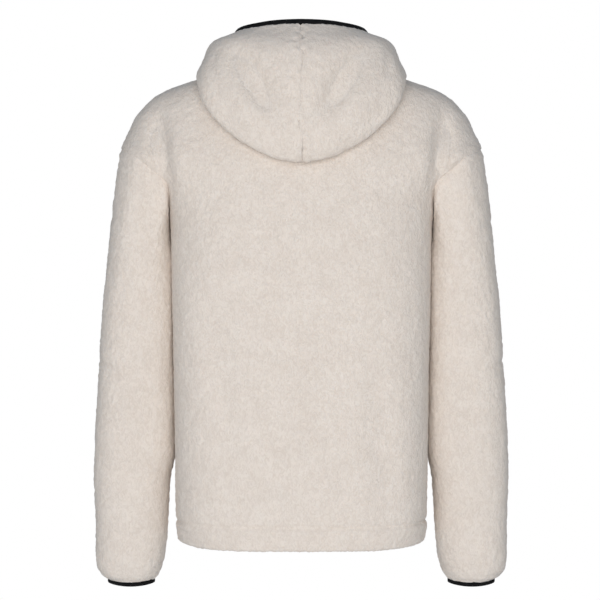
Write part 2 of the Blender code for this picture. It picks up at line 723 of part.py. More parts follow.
def hood_walls(side, parts):
    """Outer and inner grids of half the hood: rows from neck seam to rim, columns from zip to back."""
    ring, neck_in, to_hood, fine_ring = parts["ring"]
    columns = []
    for point in fine_ring:
        turn = math.degrees(math.atan2(abs(point[0]), -point[1]))
        columns.append(through_points(hood_profile(point, turn), HOOD_ROWS * DETAIL))
    fine = np.stack(columns, axis=1)
    from_seam = np.linspace(0, HOOD_ROWS, len(fine))
    gaps = HOOD_REST_GAP * np.minimum(1, from_seam / HOOD_GAP_ROWS)
    fine[1:] = keep_off(fine[1:], body_tree(parts), gaps[1:])
    normals = hood_normals(fine)
    showing = np.linspace(0, 1, len(fine))[:, None] > HOOD_SHOWS_FROM
    behind = fine[..., 1] > 0
    depth = fold_depth(HOOD_FOLDS, range(len(HOOD_FOLDS["depth"])), fine[..., 0], fine[..., 2])
    fine = sink_folds(fine, normals, depth * showing * behind)
    outer, normals = every(fine), every(hood_normals(fine))
    inner = wall_inner(outer, normals, [(ring, neck_in)])
    part_seam(outer, inner, 0, SEAM_GAP / 2 * to_hood)
    gap = np.array([side * SEAM_GAP / 2, 0.0, 0.0])
    part_seam(outer, inner, (slice(None), -1), gap)
    return outer, inner


def binding_strip(outer, inner, before, height, upright=0.0, wraps=False):
    """A band that carries a wall's edge on: corners of its section at each point of the edge."""
    ahead = unit(unit(outer - before) + np.array([0.0, 0.0, upright]))
    near = outer + (inner - outer) * BINDING_INSET + ahead * SEAM_GAP
    far = outer + (inner - outer) * (1 - BINDING_INSET) + ahead * SEAM_GAP
    outside = np.stack([near, near + ahead * height])
    inside = np.stack([far, far + ahead * height])
    return wall_mesh(outside, inside, wraps)


def zip_rows(parts):
    """The zip's line on the fleece's face, row by row, and the way out of the cloth there."""
    outer = parts["front"][0][:-1, -1] * np.array([0.0, 1.0, 1.0])
    outward = unit(parts["front_normals"][:-1, -1] * np.array([0.0, 1.0, 1.0]))
    return outer, outward


def tape_mesh(side, parts):
    line, outward = zip_rows(parts)
    across = np.array([side, 0.0, 0.0])
    near = line - outward * TAPE_DEPTH
    far = near - outward * TAPE_THICKNESS
    outside = np.stack([near + across * ZIP_CENTRE_GAP, near + across * TAPE_WIDTH])
    inside = np.stack([far + across * ZIP_CENTRE_GAP, far + across * TAPE_WIDTH])
    return wall_mesh(outside, inside)


def zip_frame(parts, height):
    """Place, outward and downward directions on the zip's line at a height."""
    line, outward = zip_rows(parts)
    place = np.array([0.0, np.interp(height, line[:, 2], line[:, 1]), height])
    out = np.array([0.0, *(np.interp(height, line[:, 2], outward[:, k]) for k in (1, 2))])
    out = out / np.linalg.norm(out)
    down = np.cross(out, np.array([1.0, 0.0, 0.0]))
    return place, out, down if down[2] < 0 else -down


def in_frame(frame, across, out, down):
    place, outward, downward = frame
    return place + np.array([1.0, 0.0, 0.0]) * across + outward * out + downward * down


def extruded(first, second):
    """Points and faces of the solid between two outlines with as many points."""
    count = len(first)
    faces = [tuple(range(count)), tuple(range(2 * count - 1, count - 1, -1))]
    faces += [(i, i + count, (i + 1) % count + count, (i + 1) % count) for i in range(count)]
    return np.concatenate([first, second]), faces


def pierced(outline, eye, low, high):
    """Points and faces of a plate with one eye through it. low and high place its faces' points."""
    count = len(outline)
    points = [low(*p) for p in outline] + [low(*p) for p in eye]
    points += [high(*p) for p in outline] + [high(*p) for p in eye]
    faces = []
    for i in range(count):
        k = (i + 1) % count
        faces.append((i, k, k + count, i + count))
        faces.append((k + 2 * count, i + 2 * count, i + 3 * count, k + 3 * count))
        faces.append((i, i + 2 * count, k + 2 * count, k))
        faces.append((k + count, k + 3 * count, i + 3 * count, i + count))
    return np.array(points), faces


def slider(frame, finish):
    """The slider's channel with its bail, as one body."""
    width, flange = SLIDER_HALF_WIDTH, SLIDER_HALF_WIDTH - SLIDER_FLANGE
    foot, back = PART_CLEARANCE - TAPE_DEPTH, SLIDER_FACE - SLIDER_PLATE
    outline = ((-width, foot), (-flange, foot), (-flange, back), (flange, back), (flange, foot),
               (width, foot), (width, SLIDER_FACE), (-width, SLIDER_FACE))
    upper = np.array([in_frame(frame, x, t, -SLIDER_HALF_LENGTH) for x, t in outline])
    lower = np.array([in_frame(frame, x * SLIDER_FOOT_SHARE, t, SLIDER_HALF_LENGTH) for x, t in outline])
    channel = build_object("zip_slider", *extruded(upper, lower), finish)
    reach, inner = BAIL_HALF_LENGTH, BAIL_HALF_LENGTH - BAIL_THICKNESS
    root, sunk = SLIDER_FACE - 1.0, SLIDER_FACE - 0.4
    ceiling = BAIL_TOP - BAIL_THICKNESS
    arch = ((-reach, root), (reach, root), (reach, BAIL_TOP - 1.0), (reach - 1.0, BAIL_TOP),
            (1.0 - reach, BAIL_TOP), (-reach, BAIL_TOP - 1.0))
    hole = ((-inner, sunk), (inner, sunk), (inner, ceiling - 0.5), (inner - 0.5, ceiling),
            (0.5 - inner, ceiling), (-inner, ceiling - 0.5))
    bail = build_object(
        "bail_helper",
        *pierced(
            arch,
            hole,
            lambda d, t: in_frame(frame, -BAIL_HALF_WIDTH, t, d),
            lambda d, t: in_frame(frame, BAIL_HALF_WIDTH, t, d),
        ),
        finish,
    )
    bail.hide_render = True
    bail.display_type = "WIRE"
    union = channel.modifiers.new("bail", "BOOLEAN")
    union.operation = "UNION"
    union.object = bail
    return channel


def pull_tab(frame, finish):
    """The pull tab hanging from the bail, its origin on the bar that it turns on."""
    half = PULL_THICKNESS / 2
    points, faces = pierced(
        PULL_OUTLINE,
        PULL_EYE,
        lambda x, d: in_frame(frame, x, HINGE_OUT - half, d),
        lambda x, d: in_frame(frame, x, HINGE_OUT + half, d),
    )
    return build_object("zip_pull", points, faces, finish, in_frame(frame, 0.0, HINGE_OUT, 0.0))


def zip_box(parts, finish):
    """The box that holds the two tapes together at the hem."""
    line, _ = zip_rows(parts)
    frame = zip_frame(parts, line[0, 2] + BOX_ABOVE_HEM + BOX_LENGTH / 2)
    low = PART_CLEARANCE - TAPE_DEPTH
    high = low + BOX_THICKNESS
    width, corner = BOX_HALF_WIDTH, 1.0
    outline = ((-width, low), (width, low), (width, high - corner), (width - corner, high),
               (corner - width, high), (-width, high - corner))
    reaches = (-BOX_LENGTH / 2, BOX_LENGTH / 2)
    ends = [np.array([in_frame(frame, x, t, reach) for x, t in outline]) for reach in reaches]
    return build_object("zip_box", *extruded(*ends), finish)


def fleece(name):
    return material(name + "_fleece", FLEECE_COLOUR, 0.95)


def elastic(name):
    return material(name + "_elastic", BLACK, 0.7)


def metal(name):
    return material(name + "_metal", DARK_METAL, 0.35, 0.9)


def build():
    for old in list(bpy.data.objects):
        bpy.data.objects.remove(old, do_unlink=True)
    sides = {side: body_side(side) for side in (1, -1)}
    names = {1: "left", -1: "right"}
    half_left, half_right = sides[1]["back"], sides[-1]["back"]
    whole = [np.concatenate([half_left[k], half_right[k][:, -2::-1]], axis=1) for k in (0, 1)]
    build_object("back", *wall_mesh(*whole), fleece("back"))
    rims = {}
    for side, name in names.items():
        parts = sides[side]
        build_object(f"front_{name}", *wall_mesh(*parts["front"]), fleece(f"front_{name}"))
        outer, inner = sleeve_walls(side, parts["loop"])
        build_object(f"sleeve_{name}", *wall_mesh(outer, inner, True), fleece(f"sleeve_{name}"))
        before = outer[-1] + np.array([0.0, 0.0, 1.0])
        band = binding_strip(outer[-1], inner[-1], before, CUFF_BINDING_HEIGHT, wraps=True)
        build_object(f"cuff_binding_{name}", *band, elastic(f"cuff_binding_{name}"))
        outer, inner = hood_walls(side, parts)
        build_object(f"hood_{name}", *wall_mesh(outer, inner), fleece(f"hood_{name}"))
        rims[side] = [grid[row] for grid, row in ((outer, -1), (inner, -1), (outer, -2))]
    rim = [np.concatenate([rims[1][k], rims[-1][k][::-1]]) for k in range(3)]
    band = binding_strip(*rim, BINDING_HEIGHT, BINDING_STANDS_UP)
    build_object("hood_binding", *band, elastic("hood_binding"))
    for side, name in names.items():
        weave = material(f"zip_tape_{name}_weave", BLACK, 0.8)
        build_object(f"zip_tape_{name}", *tape_mesh(side, sides[side]), weave)
    frame = zip_frame(sides[1], SLIDER_HEIGHT)
    slider(frame, metal("slider"))
    pull_tab(frame, metal("pull"))
    zip_box(sides[1], metal("box"))


build()
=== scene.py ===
"""Fleece zip-up hoodie with the hood down: its cloth, pile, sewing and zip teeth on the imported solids."""

import math
from itertools import product

import bpy
import numpy as np
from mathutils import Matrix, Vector
from mathutils.bvhtree import BVHTree
from mathutils.kdtree import KDTree


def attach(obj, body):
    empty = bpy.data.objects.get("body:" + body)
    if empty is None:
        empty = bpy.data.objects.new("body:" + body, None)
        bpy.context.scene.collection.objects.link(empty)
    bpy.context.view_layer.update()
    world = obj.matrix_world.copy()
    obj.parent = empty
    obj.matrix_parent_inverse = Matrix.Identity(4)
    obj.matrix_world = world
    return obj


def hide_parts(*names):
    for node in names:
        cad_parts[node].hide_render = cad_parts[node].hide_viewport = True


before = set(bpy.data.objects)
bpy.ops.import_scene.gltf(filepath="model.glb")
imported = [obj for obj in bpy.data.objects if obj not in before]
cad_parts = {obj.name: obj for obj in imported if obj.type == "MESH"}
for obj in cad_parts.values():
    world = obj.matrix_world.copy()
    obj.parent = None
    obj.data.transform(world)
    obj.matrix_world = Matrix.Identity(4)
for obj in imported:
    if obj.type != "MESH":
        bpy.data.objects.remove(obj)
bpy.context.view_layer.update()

MM = 0.001
UP = np.array([0.0, 0.0, 1.0])
IN_THE_MIDDLE = np.array([0.0, 1.0, 1.0])  # takes what lies across to the middle

# Cloth and seams
WALL = 5.0
TURN_REACH = 11.0

# Rows and columns of each panel's face
ROWS_BELOW_ARMPIT = 188
ROWS_ALONG_ARMHOLE = 72
ROWS_ALONG_SHOULDER = 84
COLUMNS_HALF_BACK = 108
COLUMNS_FRONT = 104
SLEEVE_TOP_ROWS = 84
SLEEVE_LOW_ROWS = 168
CUFF_ROWS = 24
CUFF_ROWS_START = 6  # the row of SLEEVE from which the rings lie closer
COARSE_STEP = 4  # the hood is laid on a body with a fourth of the rows and columns
HOOD_ROWS = 140
SECTION_SAMPLES = 600
CURVE_STEPS = 40

# Body, behind (1) and in front (-1): its column of BODY, how far the neck drops and from what height up
NECK_DROPS = {1: ("back", 15.0, 60.0), -1: ("front", 75.0, 190.0)}
ZIP_HALF_GAP = 6.0
HEM_LIFT_AT_SIDES = 9.0
HEM_LIFT_REACH = 60.0
ARMHOLE_CENTRE_INSET = 25.0  # how far the armhole's middle lies beyond its innermost point
SOFTEN_REACH = 26.0  # the panels' form is evened out over this much of their height
SOFTEN_FROM_SEAM = 45.0  # and less and less this close to a seam
SOFTEN_FROM_ENDS = 70.0  # or to the hem and the neck


def table(names, *rows):
    """A short table as a dictionary of columns."""
    return dict(zip(names.split(), np.array(rows, float).T))


# Half of the body at each height: the width of the whole section, where the panel ends in its seam or
# armhole, how far the back and the front stand off the side seam, and how square the section is.
BODY = table(
    "height half_width seam_x back front squareness",
    (-683, 177.5, 177.5, 120, 111, 2.95),
    (-650, 181, 181, 125, 116, 3.15),
    (-600, 182, 182, 127, 118, 3.35),
    (-500, 183, 183, 128, 120, 3.45),
    (-400, 185, 185, 129, 121, 3.45),
    (-300, 187.5, 187.5, 129, 122, 3.3),
    (-250, 188.5, 188.5, 128, 122, 3.1),
    (-215, 190, 190, 127, 121, 2.9),
    (-200, 192, 190.5, 126, 120, 2.82),
    (-185, 197.5, 192, 125, 119, 2.75),
    (-167, 212, 197, 123, 117, 2.67),
    (-145, 240, 215, 120, 114, 2.6),
    (-123, 264.5, 240, 115, 110, 2.54),
    (-111, 261, 261, 112, 107, 2.50),
    (-87, 249.5, 249.5, 105, 102, 2.45),
    (-68, 240.8, 240.8, 100, 98, 2.40),
    (-51, 227.3, 227.3, 95, 95, 2.35),
    (-38, 213.3, 213.3, 90, 92, 2.30),
    (-27, 193.2, 193.2, 86, 89, 2.30),
    (-19, 171.3, 171.3, 82, 87, 2.25),
    (-11.5, 148.5, 148.5, 78, 85, 2.20),
    (-5, 122, 122, 74, 84, 2.20),
    (0, 90, 90, 70, 84, 2.20),
)
ARMPIT_ROW = 7
SHOULDER_TIP_ROW = 13

# Sleeve rings below the armhole
SLEEVE = table(
    "height centre_x centre_y half_width half_depth squareness",
    (-300, 236.5, -8, 48.2, 64, 2.4),
    (-340, 238.5, -10, 50.4, 63, 2.5),
    (-446, 241.5, -14, 54.2, 61, 2.6),
    (-546, 242, -17, 59.2, 58, 2.6),
    (-591, 246, -18, 56, 55, 2.6),
    (-647, 246.5, -19, 53.5, 51, 2.5),
    (-702, 249, -20, 51, 47, 2.4),
    (-719, 250, -20, 47.5, 43, 2.3),
    (-730, 249.5, -20, 42, 37.5, 2.15),
    (-736, 247.5, -20, 35, 31, 2.0),
)
CUFF_DIP = 3.5  # how far the cuff's edge dips at the back and the front
CUFF_DIP_FROM = -690.0
# How the sleeve leaves the armhole at the armpit and at the shoulder tip
LEAVE_ARMPIT = np.array([0.16, -0.08, -0.98])
LEAVE_TIP = np.array([0.2, -0.02, -0.98])
LEAVE_SIDES = np.array([0.12, -0.04, -0.98])

# Hood profile at each turn from the front (0) to the back (180), as distance out and height of its
# points: under the fold, at the fold, and up over the bulge to the rim.
HOOD = table(
    "turn under_out under_up lower_out lower_up fold_out fold_up low_out low_up"
    " bulge_out bulge_up top_out top_up rim_out rim_up",
    (0, 86, -72, 87, -69.5, 87.5, -67, 88, -65, 88, -62, 87.5, -60, 87, -57),
    (30, 89, -57, 94, -54, 98, -49, 101, -43, 101, -36, 98, -28, 93, -21),
    (60, 97, -26, 107, -30, 118, -29, 127, -20, 131, -5, 122, 17, 103, 26),
    (90, 103, -5, 120, -8, 139, -8, 147, -4, 142, 12, 130, 37, 100, 50),
    (110, 105, -12, 130, -20, 151, -22, 160, -11, 149, 13, 134, 41, 101, 55),
    (129, 107, -30, 140, -52, 166, -66, 177, -46, 168, -11, 142, 36, 102, 57),
    (142, 100, -40, 124, -76, 149, -103, 164, -84, 165, -40, 142, 28, 102, 58),
    (152, 96, -44, 115, -88, 139, -119, 155, -100, 161, -54, 141, 22, 100, 59.5),
    (164, 92, -47, 108, -96, 131, -132, 148, -113, 155, -65, 139, 18, 98, 60.5),
    (180, 90, -49, 106, -98, 127, -138, 144, -119, 152, -70, 138, 15, 97, 61),
)
HOOD_REST_GAP = 3.0  # the hood lies on the body with this much between them, pile and all
HOOD_GAP_ROWS = 1.5  # rows over which that gap opens from the neck seam
HOOD_SHOWS_FROM = 0.45  # share of the hood's way from the neck seam where its outside comes into view
SEAM_TURN_UP_AT_BACK = 48.0  # degrees: the neck seam points up at the back, and level at the front

# Soft folds as curves seen from behind (1) or in front (-1): which of the two, the start, the middle and
# the end (across, up), the depth and the half width
FOLDS = (
    (1, 208, -62, 200, -118, 195, -178, 13, 15),
    (1, -206, -66, -199, -120, -194, -178, 13, 15),
    (1, 126, -335, 113, -450, 98, -560, 5, 22),
    (1, -102, -430, -111, -530, -125, -655, 5, 22),
    (1, 60, -560, 30, -600, -20, -625, 2.5, 16),
    (-1, 206, -64, 200, -118, 195, -178, 13, 15),
    (-1, -207, -64, -200, -119, -194, -178, 13, 15),
    (-1, 104, -270, 118, -430, 124, -620, 5, 24),
    (-1, -108, -240, -116, -380, -130, -590, 6, 24),
    (-1, 62, -130, 88, -190, 96, -250, 4, 20),
    (-1, -58, -130, -84, -185, -95, -240, 4, 20),
)
HOOD_FOLDS = (
    (1, 92, 26, 62, -24, 24, -84, 10.5, 19),
    (1, -89, 30, -56, -26, -20, -86, 10.5, 19),
    (1, 124, 34, 127, 12, 122, -10, 3, 7),
    (1, -122, 36, -126, 12, -121, -12, 3, 7),
    (1, 0, -60, 0, -90, 0, -128, -3, 6),
)
CREASE_SAMPLES = 25
CREASE_TAPER = 0.08  # how far a crease's ends are from fading out wholly
FOLD_FADE = 14.0  # folds fade out this close to the side, shoulder and armhole seams

# Pile, in millimetres
INSIDE_STEP = 4  # the cloth's inside has a fourth of the rows and columns
INSIDE_PILE = 0.25  # and this share of the face's relief
RIM_RINGS = 3
TUFT_SIZE = 5.8
TUFT_HEIGHT = 2.1
TUFT_UNEVEN = 0.45  # how much lower the lowest tufts are
TUFT_LEVEL = 0.92  # how high up a tuft the cloth's own form lies
PILE_LIES_ON_TOP = 0.5
FRINGE = 2.4  # how far tufts hang over a cloth's edge
FRINGE_SIZE = 0.7 * TUFT_SIZE
FRINGE_LEVEL = 0.6
LUMP_SIZE = 13.0
LUMP_HEIGHT = 0.35
SAG_SIZE = 46.0
SAG_HEIGHT = 0.3

# Seams, hem and zip edges, in millimetres
SEAM_CLOSING = 1.1  # how far the pile bulges over a seam's crack
SEAM_VALLEY = 1.3
SEAM_VALLEY_REACH = 4.0
SEAM_SHOULDER = 0.9  # the cloth stands proud beside a seam
SEAM_SHOULDER_AT = 9
SEAM_SHOULDER_REACH = 5
HEM_STITCH_UP = 31.0
HEM_STITCH_DEPTH = 3.2
HEM_STITCH_REACH = 3.0
HEM_LAYER = 1.2  # the turned-up cloth below the stitches stands out
HEM_LAYER_EASE = 2.5
HEM_BULGE = 2.3
ZIP_STITCH_IN = 8.0
ZIP_STITCH_DEPTH = 1.5
ZIP_STITCH_REACH = 2.0
ZIP_EDGE_BULGE = 1.3
UNDERARM_SEAM = 0.6  # of a sewn seam's full relief
NECK_SEAM = 0.8
HOOD_SEAM = 1.25
HOOD_SEAM_HIDES = 0.9  # share of it that hides in the pile, round one height
HOOD_SEAM_HIDES_AT = -47
HOOD_SEAM_HIDES_REACH = 23
HOOD_SEAM_LENGTHS = 9.0  # length of its deeper and shallower bits
HOOD_SEAM_WOBBLE = 3.6
HOOD_SEAM_WOBBLE_REACH = 12
HOOD_SEAM_CLOSING = 1.5
HOOD_SEAM_OPENS = 1.35
CAD_HOOD_ROWS = 16

# Where the sleeves press on the body: from how far they face it, and round which height
PRESS_FROM = 0.25
PRESS_EASE = 0.5
PRESS_HEIGHT = -345.0
PRESS_REACH = 185.0
PRESS_DEPTH = 6.5

# Bindings: the section's points as the share of the way through the cloth and of the height
BINDING_HEIGHT = 9.0
BINDING_STANDS_UP = 1.0
CUFF_BINDING_HEIGHT = 6.0
BINDING_SECTION = ((0.1, -0.3), (0.1, 0.6), (0.2, 0.88), (0.5, 1), (0.9, 0.88), (1.15, 0.6), (1.25, -0.3))

# Zip and its stitches
TAPE_DEPTH = WALL + 0.9
TOOTH_PITCH = 2.7
TOOTH_HALVES = (0.62, 1.3, 0.95)
TOOTH_FACES = ((0, 1, 3, 2), (4, 6, 7, 5), (0, 4, 5, 1), (2, 3, 7, 6), (0, 2, 6, 4), (1, 5, 7, 3))
TOOTH_SLIM = 0.8
TOOTH_UP = 1.15
TOOTH_ASIDE = 1.05
TEETH_START = 16.0
TEETH_END = 2.0
STITCH_PITCH = 3.4
STITCH_LENGTH = 0.72 * STITCH_PITCH
STITCH_RADIUS = 0.38
STITCH_SINK = 0.9
STITCH_ROWS = slice(2, -2)
STITCH_COLUMN = -4
SLEEVE_DENTS_BEHIND = -60  # the sleeves' dents lie behind this

# Colours, lights and camera
FLEECE_DEEP = (0.735, 0.668, 0.603)
FLEECE_LIGHT = (0.772, 0.708, 0.643)
# Painted shade in the curls' hollows and painted light on their tops, multiplied into the fleece colour
# along the same noise as the curls' bump
CURL_ROOT_PAINTED_SHADE = (0.952, 0.937, 0.925)
CURL_TIP_PAINTED_LIGHT = (1.04, 1.04, 1.04)
KEY_POWER = 150
FRONT_POWER = 129
LIGHT_SIZE = 3.5
LIGHT_AIM = (0, 0, -0.35)
KEY_COLOUR = (1.0, 0.97, 0.96)
# From straight below (0) to straight above (1): red, green and blue of the soft light all round
AMBIENT_BY_HEIGHT = (
    (0, 0.36, 0.36, 0.355),
    (0.5, 0.43, 0.44, 0.445),
    (0.65, 0.32, 0.355, 0.39),
    (1, 0.12, 0.155, 0.20),
)
CAMERA_PLACE = (0.0019, 4.0, -0.3306)
LENS = 165.5
SENSOR = 36
FAR_CLIP = 100
FLOOR_HEIGHT = -1.5
FLOOR_HALF = 2.5

# Short soft dents seen from behind: side, place (across, up), width, height, tilt and depth
BACK_DENTS = (
    (1, 197, -166, 9, 4, 0.9, 4.5),
    (1, 203, -156, 9, 3.5, 0.7, 3.0),
    (1, -198, -166, 9, 4, -0.9, 4.5),
    (1, -204, -155, 9, 3.5, -0.7, 3.0),
    (1, 209, -99, 10, 25, 0, 5.0),
    (1, 201, -137, 9, 24, 0, 7.5),
    (1, -209, -99, 10, 25, 0, 4.5),
    (1, -201, -136, 9, 24, 0, 7.0),
    (1, 168, -660, 7, 3.5, 0.2, 2.4),
    (1, -172, -648, 7, 3.5, -0.2, 2.4),
)
HOOD_DENTS = (
    (1, 71, -22, 32, 27, 1.24, 6.2),
    (-1, -63, -21, 34, 27, -1.22, 6.2),
)
SLEEVE_DENTS = (
    (1, 284, -423, 16, 4, 0.5, 2.4),
    (1, 280, -436, 14, 5, 0.4, 1.2),
    (-1, -286, -423, 16, 4, -0.5, 2.4),
    (-1, -282, -437, 14, 5, -0.4, 1.2),
    (1, 268, -214, 20, 7, 0.6, 1.5),
    (-1, -268, -222, 20, 7, -0.6, 1.5),
)


def unit(vectors):
    return vectors / np.maximum(np.linalg.norm(vectors, axis=-1, keepdims=True), 1e-9)


def level(vectors):
    """Unit directions laid level."""
    return unit(vectors * np.array([1.0, 1.0, 0.0]))


def running(steps):
    """The sum of the steps so far, from nothing."""
    return np.concatenate([[0], np.cumsum(steps)])


def distance_along(points):
    return running(np.linalg.norm(np.diff(points, axis=0), axis=1))


def points_at(places, travel, points):
    """Points on a run of points, at distances along it."""
    return np.stack([np.interp(places, travel, points[:, k]) for k in range(3)], axis=-1)


def nearness(far, reach):
    """From 1 at something to 0 well past its reach."""
    return np.exp(-((far / reach) ** 2))


def eased(t, start, leaving, end, arriving):
    """Points on a curve that leaves its start and reaches its end in given directions."""
    return (
        (1 + 2 * t) * (1 - t) ** 2 * start
        + t * (1 - t) ** 2 * leaving
        + t * t * (3 - 2 * t) * end
        + t * t * (t - 1) * arriving
    )


def smooth_through(knots, values, at):
    """A smooth curve through the values that never overshoots them."""
    step = np.diff(knots)
    slope = np.diff(values) / step
    lean = np.empty(len(knots))
    lean[0], lean[-1] = slope[0], slope[-1]
    same_way = slope[:-1] * slope[1:] > 0
    before = np.where(same_way, slope[:-1], 1)
    after = np.where(same_way, slope[1:], 1)
    first = 2 * step[1:] + step[:-1]
    second = step[1:] + 2 * step[:-1]
    lean[1:-1] = np.where(same_way, (first + second) / (first / before + second / after), 0)
    index = np.clip(np.searchsorted(knots, at, side="right") - 1, 0, len(step) - 1)
    step = step[index]
    t = (at - knots[index]) / step
    return eased(t, values[index], step * lean[index], values[index + 1], step * lean[index + 1])


def fold_depth(folds, facing, grid):
    """Total depth of the folds on one side of the garment. Each is a soft crease along a curve."""
    x, z = grid[..., 0], grid[..., 2]
    t = np.linspace(0, 1, CREASE_SAMPLES)
    strength = np.sin(np.pi * (CREASE_TAPER + (1 - 2 * CREASE_TAPER) * t))
    total = np.zeros_like(x)
    for side, start_x, start_z, middle_x, middle_z, end_x, end_z, depth, reach in folds:
        if side == facing:
            path_x = (1 - t) ** 2 * start_x + 2 * t * (1 - t) * middle_x + t * t * end_x
            path_z = (1 - t) ** 2 * start_z + 2 * t * (1 - t) * middle_z + t * t * end_z
            far = np.hypot(x[..., None] - path_x, z[..., None] - path_z)
            total += depth * (strength * nearness(far, reach)).max(axis=-1)
    return total


def body_travel():
    """Distance along the side seam, the armhole and the shoulder seam, at each row of BODY."""
    return running(np.hypot(np.diff(BODY["seam_x"]), np.diff(BODY["height"])))


def body_rows():
    """Where the body's rows lie along the side, and the numbers of the armpit's and the tip's row."""
    travel = body_travel()
    armpit, tip = travel[ARMPIT_ROW], travel[SHOULDER_TIP_ROW]
    below = np.linspace(0, armpit, ROWS_BELOW_ARMPIT + 1)
    beside = np.linspace(armpit, tip, ROWS_ALONG_ARMHOLE + 1)
    above = np.linspace(tip, travel[-1], ROWS_ALONG_SHOULDER + 1)
    rows = np.concatenate([below, beside[1:], above[1:]])
    return rows, len(below) - 1, len(below) + len(beside) - 2


def half_section(half_width, seam_x, depth, power, last_x):
    """Half of a rounded-square section, from the seam to last_x, with the distance along it."""
    start = math.acos(min(1.0, (seam_x / half_width) ** (power / 2)))
    end = math.acos((last_x / half_width) ** (power / 2))
    angle = np.linspace(start, end, SECTION_SAMPLES)
    x = half_width * np.cos(angle) ** (2 / power)
    y = depth * np.sin(angle) ** (2 / power)
    x[0], x[-1] = seam_x, last_x
    return x, y, running(np.hypot(np.diff(x), np.diff(y)))


def even_lengths(lengths, heights, armpit, tip):
    """Row lengths that change evenly up the armhole, where the rows' own ends jump outwards."""
    even = lengths.copy()
    beside = slice(armpit, tip + 1)
    even[beside] = np.interp(heights[beside], heights[[armpit, tip]], lengths[[armpit, tip]])
    return even


def softened(grid, rows, lengths):
    """The grid with its form evened out up the rows, except near the seams, the hem and the neck."""
    weights = nearness(rows[:, None] - rows[None], SOFTEN_REACH) * np.gradient(rows)
    weights = weights / weights.sum(axis=1, keepdims=True)
    even = np.tensordot(weights, grid, axes=1)
    from_seam = lengths[:, None] * np.linspace(0, 1, grid.shape[1])
    from_end = np.minimum(rows, rows[-1] - rows)[:, None]
    share = (1 - nearness(from_seam, SOFTEN_FROM_SEAM)) * (1 - nearness(from_end, SOFTEN_FROM_ENDS))
    return grid + (even - grid) * share[..., None]


def body_half(facing, last_x, count):
    """Grid of one half of the back (facing 1) or of the front (facing -1), from the seam to the middle."""
    travel = body_travel()
    rows, armpit, tip = body_rows()
    at = {name: smooth_through(travel, values, rows) for name, values in BODY.items()}
    column, drop, reach = NECK_DROPS[facing]
    seam_x = np.minimum(at["seam_x"], at["half_width"])
    sections = [
        half_section(at["half_width"][i], seam_x[i], at[column][i], at["squareness"][i], last_x)
        for i in range(len(rows))
    ]
    lengths = np.array([section[2][-1] for section in sections])
    even = even_lengths(lengths, at["height"], armpit, tip)
    from_middle = np.linspace(1, 0, count + 1)
    grid = np.zeros((len(rows), len(from_middle), 3))
    for i, (section_x, section_y, along) in enumerate(sections):
        position = lengths[i] - even[i] * from_middle - (lengths[i] - even[i]) * from_middle**3
        x = np.interp(position, along, section_x)
        y = np.interp(position, along, section_y)
        share = x / seam_x[i]
        height = at["height"][i]
        near_neck = max(0.0, 1 + height / reach)
        near_neck = near_neck * near_neck * (3 - 2 * near_neck)
        narrow = 1 + 2 * (1 - near_neck)
        z = height - drop * near_neck * (1 - share**2) ** narrow
        near_hem = max(0.0, 1 - (height - BODY["height"][0]) / HEM_LIFT_REACH)
        z = z + HEM_LIFT_AT_SIDES * near_hem * share**6
        grid[i] = np.stack([x, facing * y, z], axis=1)
    return softened(grid, rows, lengths)


def outward_normals(grid, away_from, wraps=False):
    """Unit normals of a grid of points, on the side that faces away from the given point or points."""
    if wraps:
        padded = np.concatenate([grid[:, -1:], grid, grid[:, :1]], axis=1)
        across = (padded[:, 2:] - padded[:, :-2]) / 2
    else:
        across = np.gradient(grid, axis=1)
    along = np.gradient(grid, axis=0)
    normals = unit(np.cross(across, along))
    if (normals * (grid - away_from)).sum() < 0:
        normals = -normals
    return normals


def with_folds(half, facing, side):
    """Half of a body panel on one side of the middle, with its soft folds pressed in."""
    grid = half * np.array([side, 1.0, 1.0])
    normals = outward_normals(grid, body_axis(grid))
    depth = fold_depth(FOLDS, facing, grid)
    # The seams at the tip, the armpit and the shoulder stay where both panels have them.
    fade = 1 - nearness(grid[..., 1], FOLD_FADE)
    # Pressed in level, so that rows close together never cross.
    return grid - level(normals) * (depth * fade)[..., None]


def body_axis(grid):
    """Points on the body's upright middle line, at the grid's heights."""
    axis = np.zeros_like(grid)
    axis[..., 2] = np.minimum(grid[..., 2], -60)
    return axis


def armhole_frame(loop):
    """For each point of the armhole: the direction into the wall, and the one from body to sleeve."""
    side = np.sign(loop[0, 0])
    low, high = loop[:, 2].min(), loop[:, 2].max()
    rise = (loop[:, 2] - low) / (high - low)
    centre_x = np.abs(loop[:, 0]).min() + ARMHOLE_CENTRE_INSET
    inward_x = side * (centre_x - np.abs(loop[:, 0])) * 2 * rise**2
    inward = unit(np.stack([inward_x, -loop[:, 1], (low + high) / 2 - loop[:, 2]], axis=1))
    tangent = unit(np.roll(loop, -1, axis=0) - np.roll(loop, 1, axis=0))
    apart = unit(np.cross(tangent, inward))
    to_sleeve = apart * np.array([side, 0, -1.0])
    return inward, np.where(to_sleeve.sum(axis=1, keepdims=True) < 0, -apart, apart)


def neck_frame(ring):
    """For each point of the neck seam: the direction into the wall, and the one from body to hood."""
    turn = np.arctan2(np.abs(ring[:, 0]), -ring[:, 1])
    rise = np.radians(SEAM_TURN_UP_AT_BACK) * np.sin(turn / 2) ** 1.5
    radial = level(ring)
    inward = -radial * np.cos(rise)[:, None] + UP * np.sin(rise)[:, None]
    apart = radial * np.sin(rise)[:, None] + UP * np.cos(rise)[:, None]
    return inward, apart


def armhole_loop(back, front):
    """The armhole's points: from the armpit up the back to the tip, and down the front."""
    _, armpit, tip = body_rows()
    return np.concatenate([back[armpit : tip + 1, 0], front[armpit + 1 : tip, 0][::-1]])


def neck_ring(back, front):
    """The neck seam's points on one side, from the zip round to the middle of the back."""
    return np.concatenate([front[-1, ::-1], back[-1, 1:]])


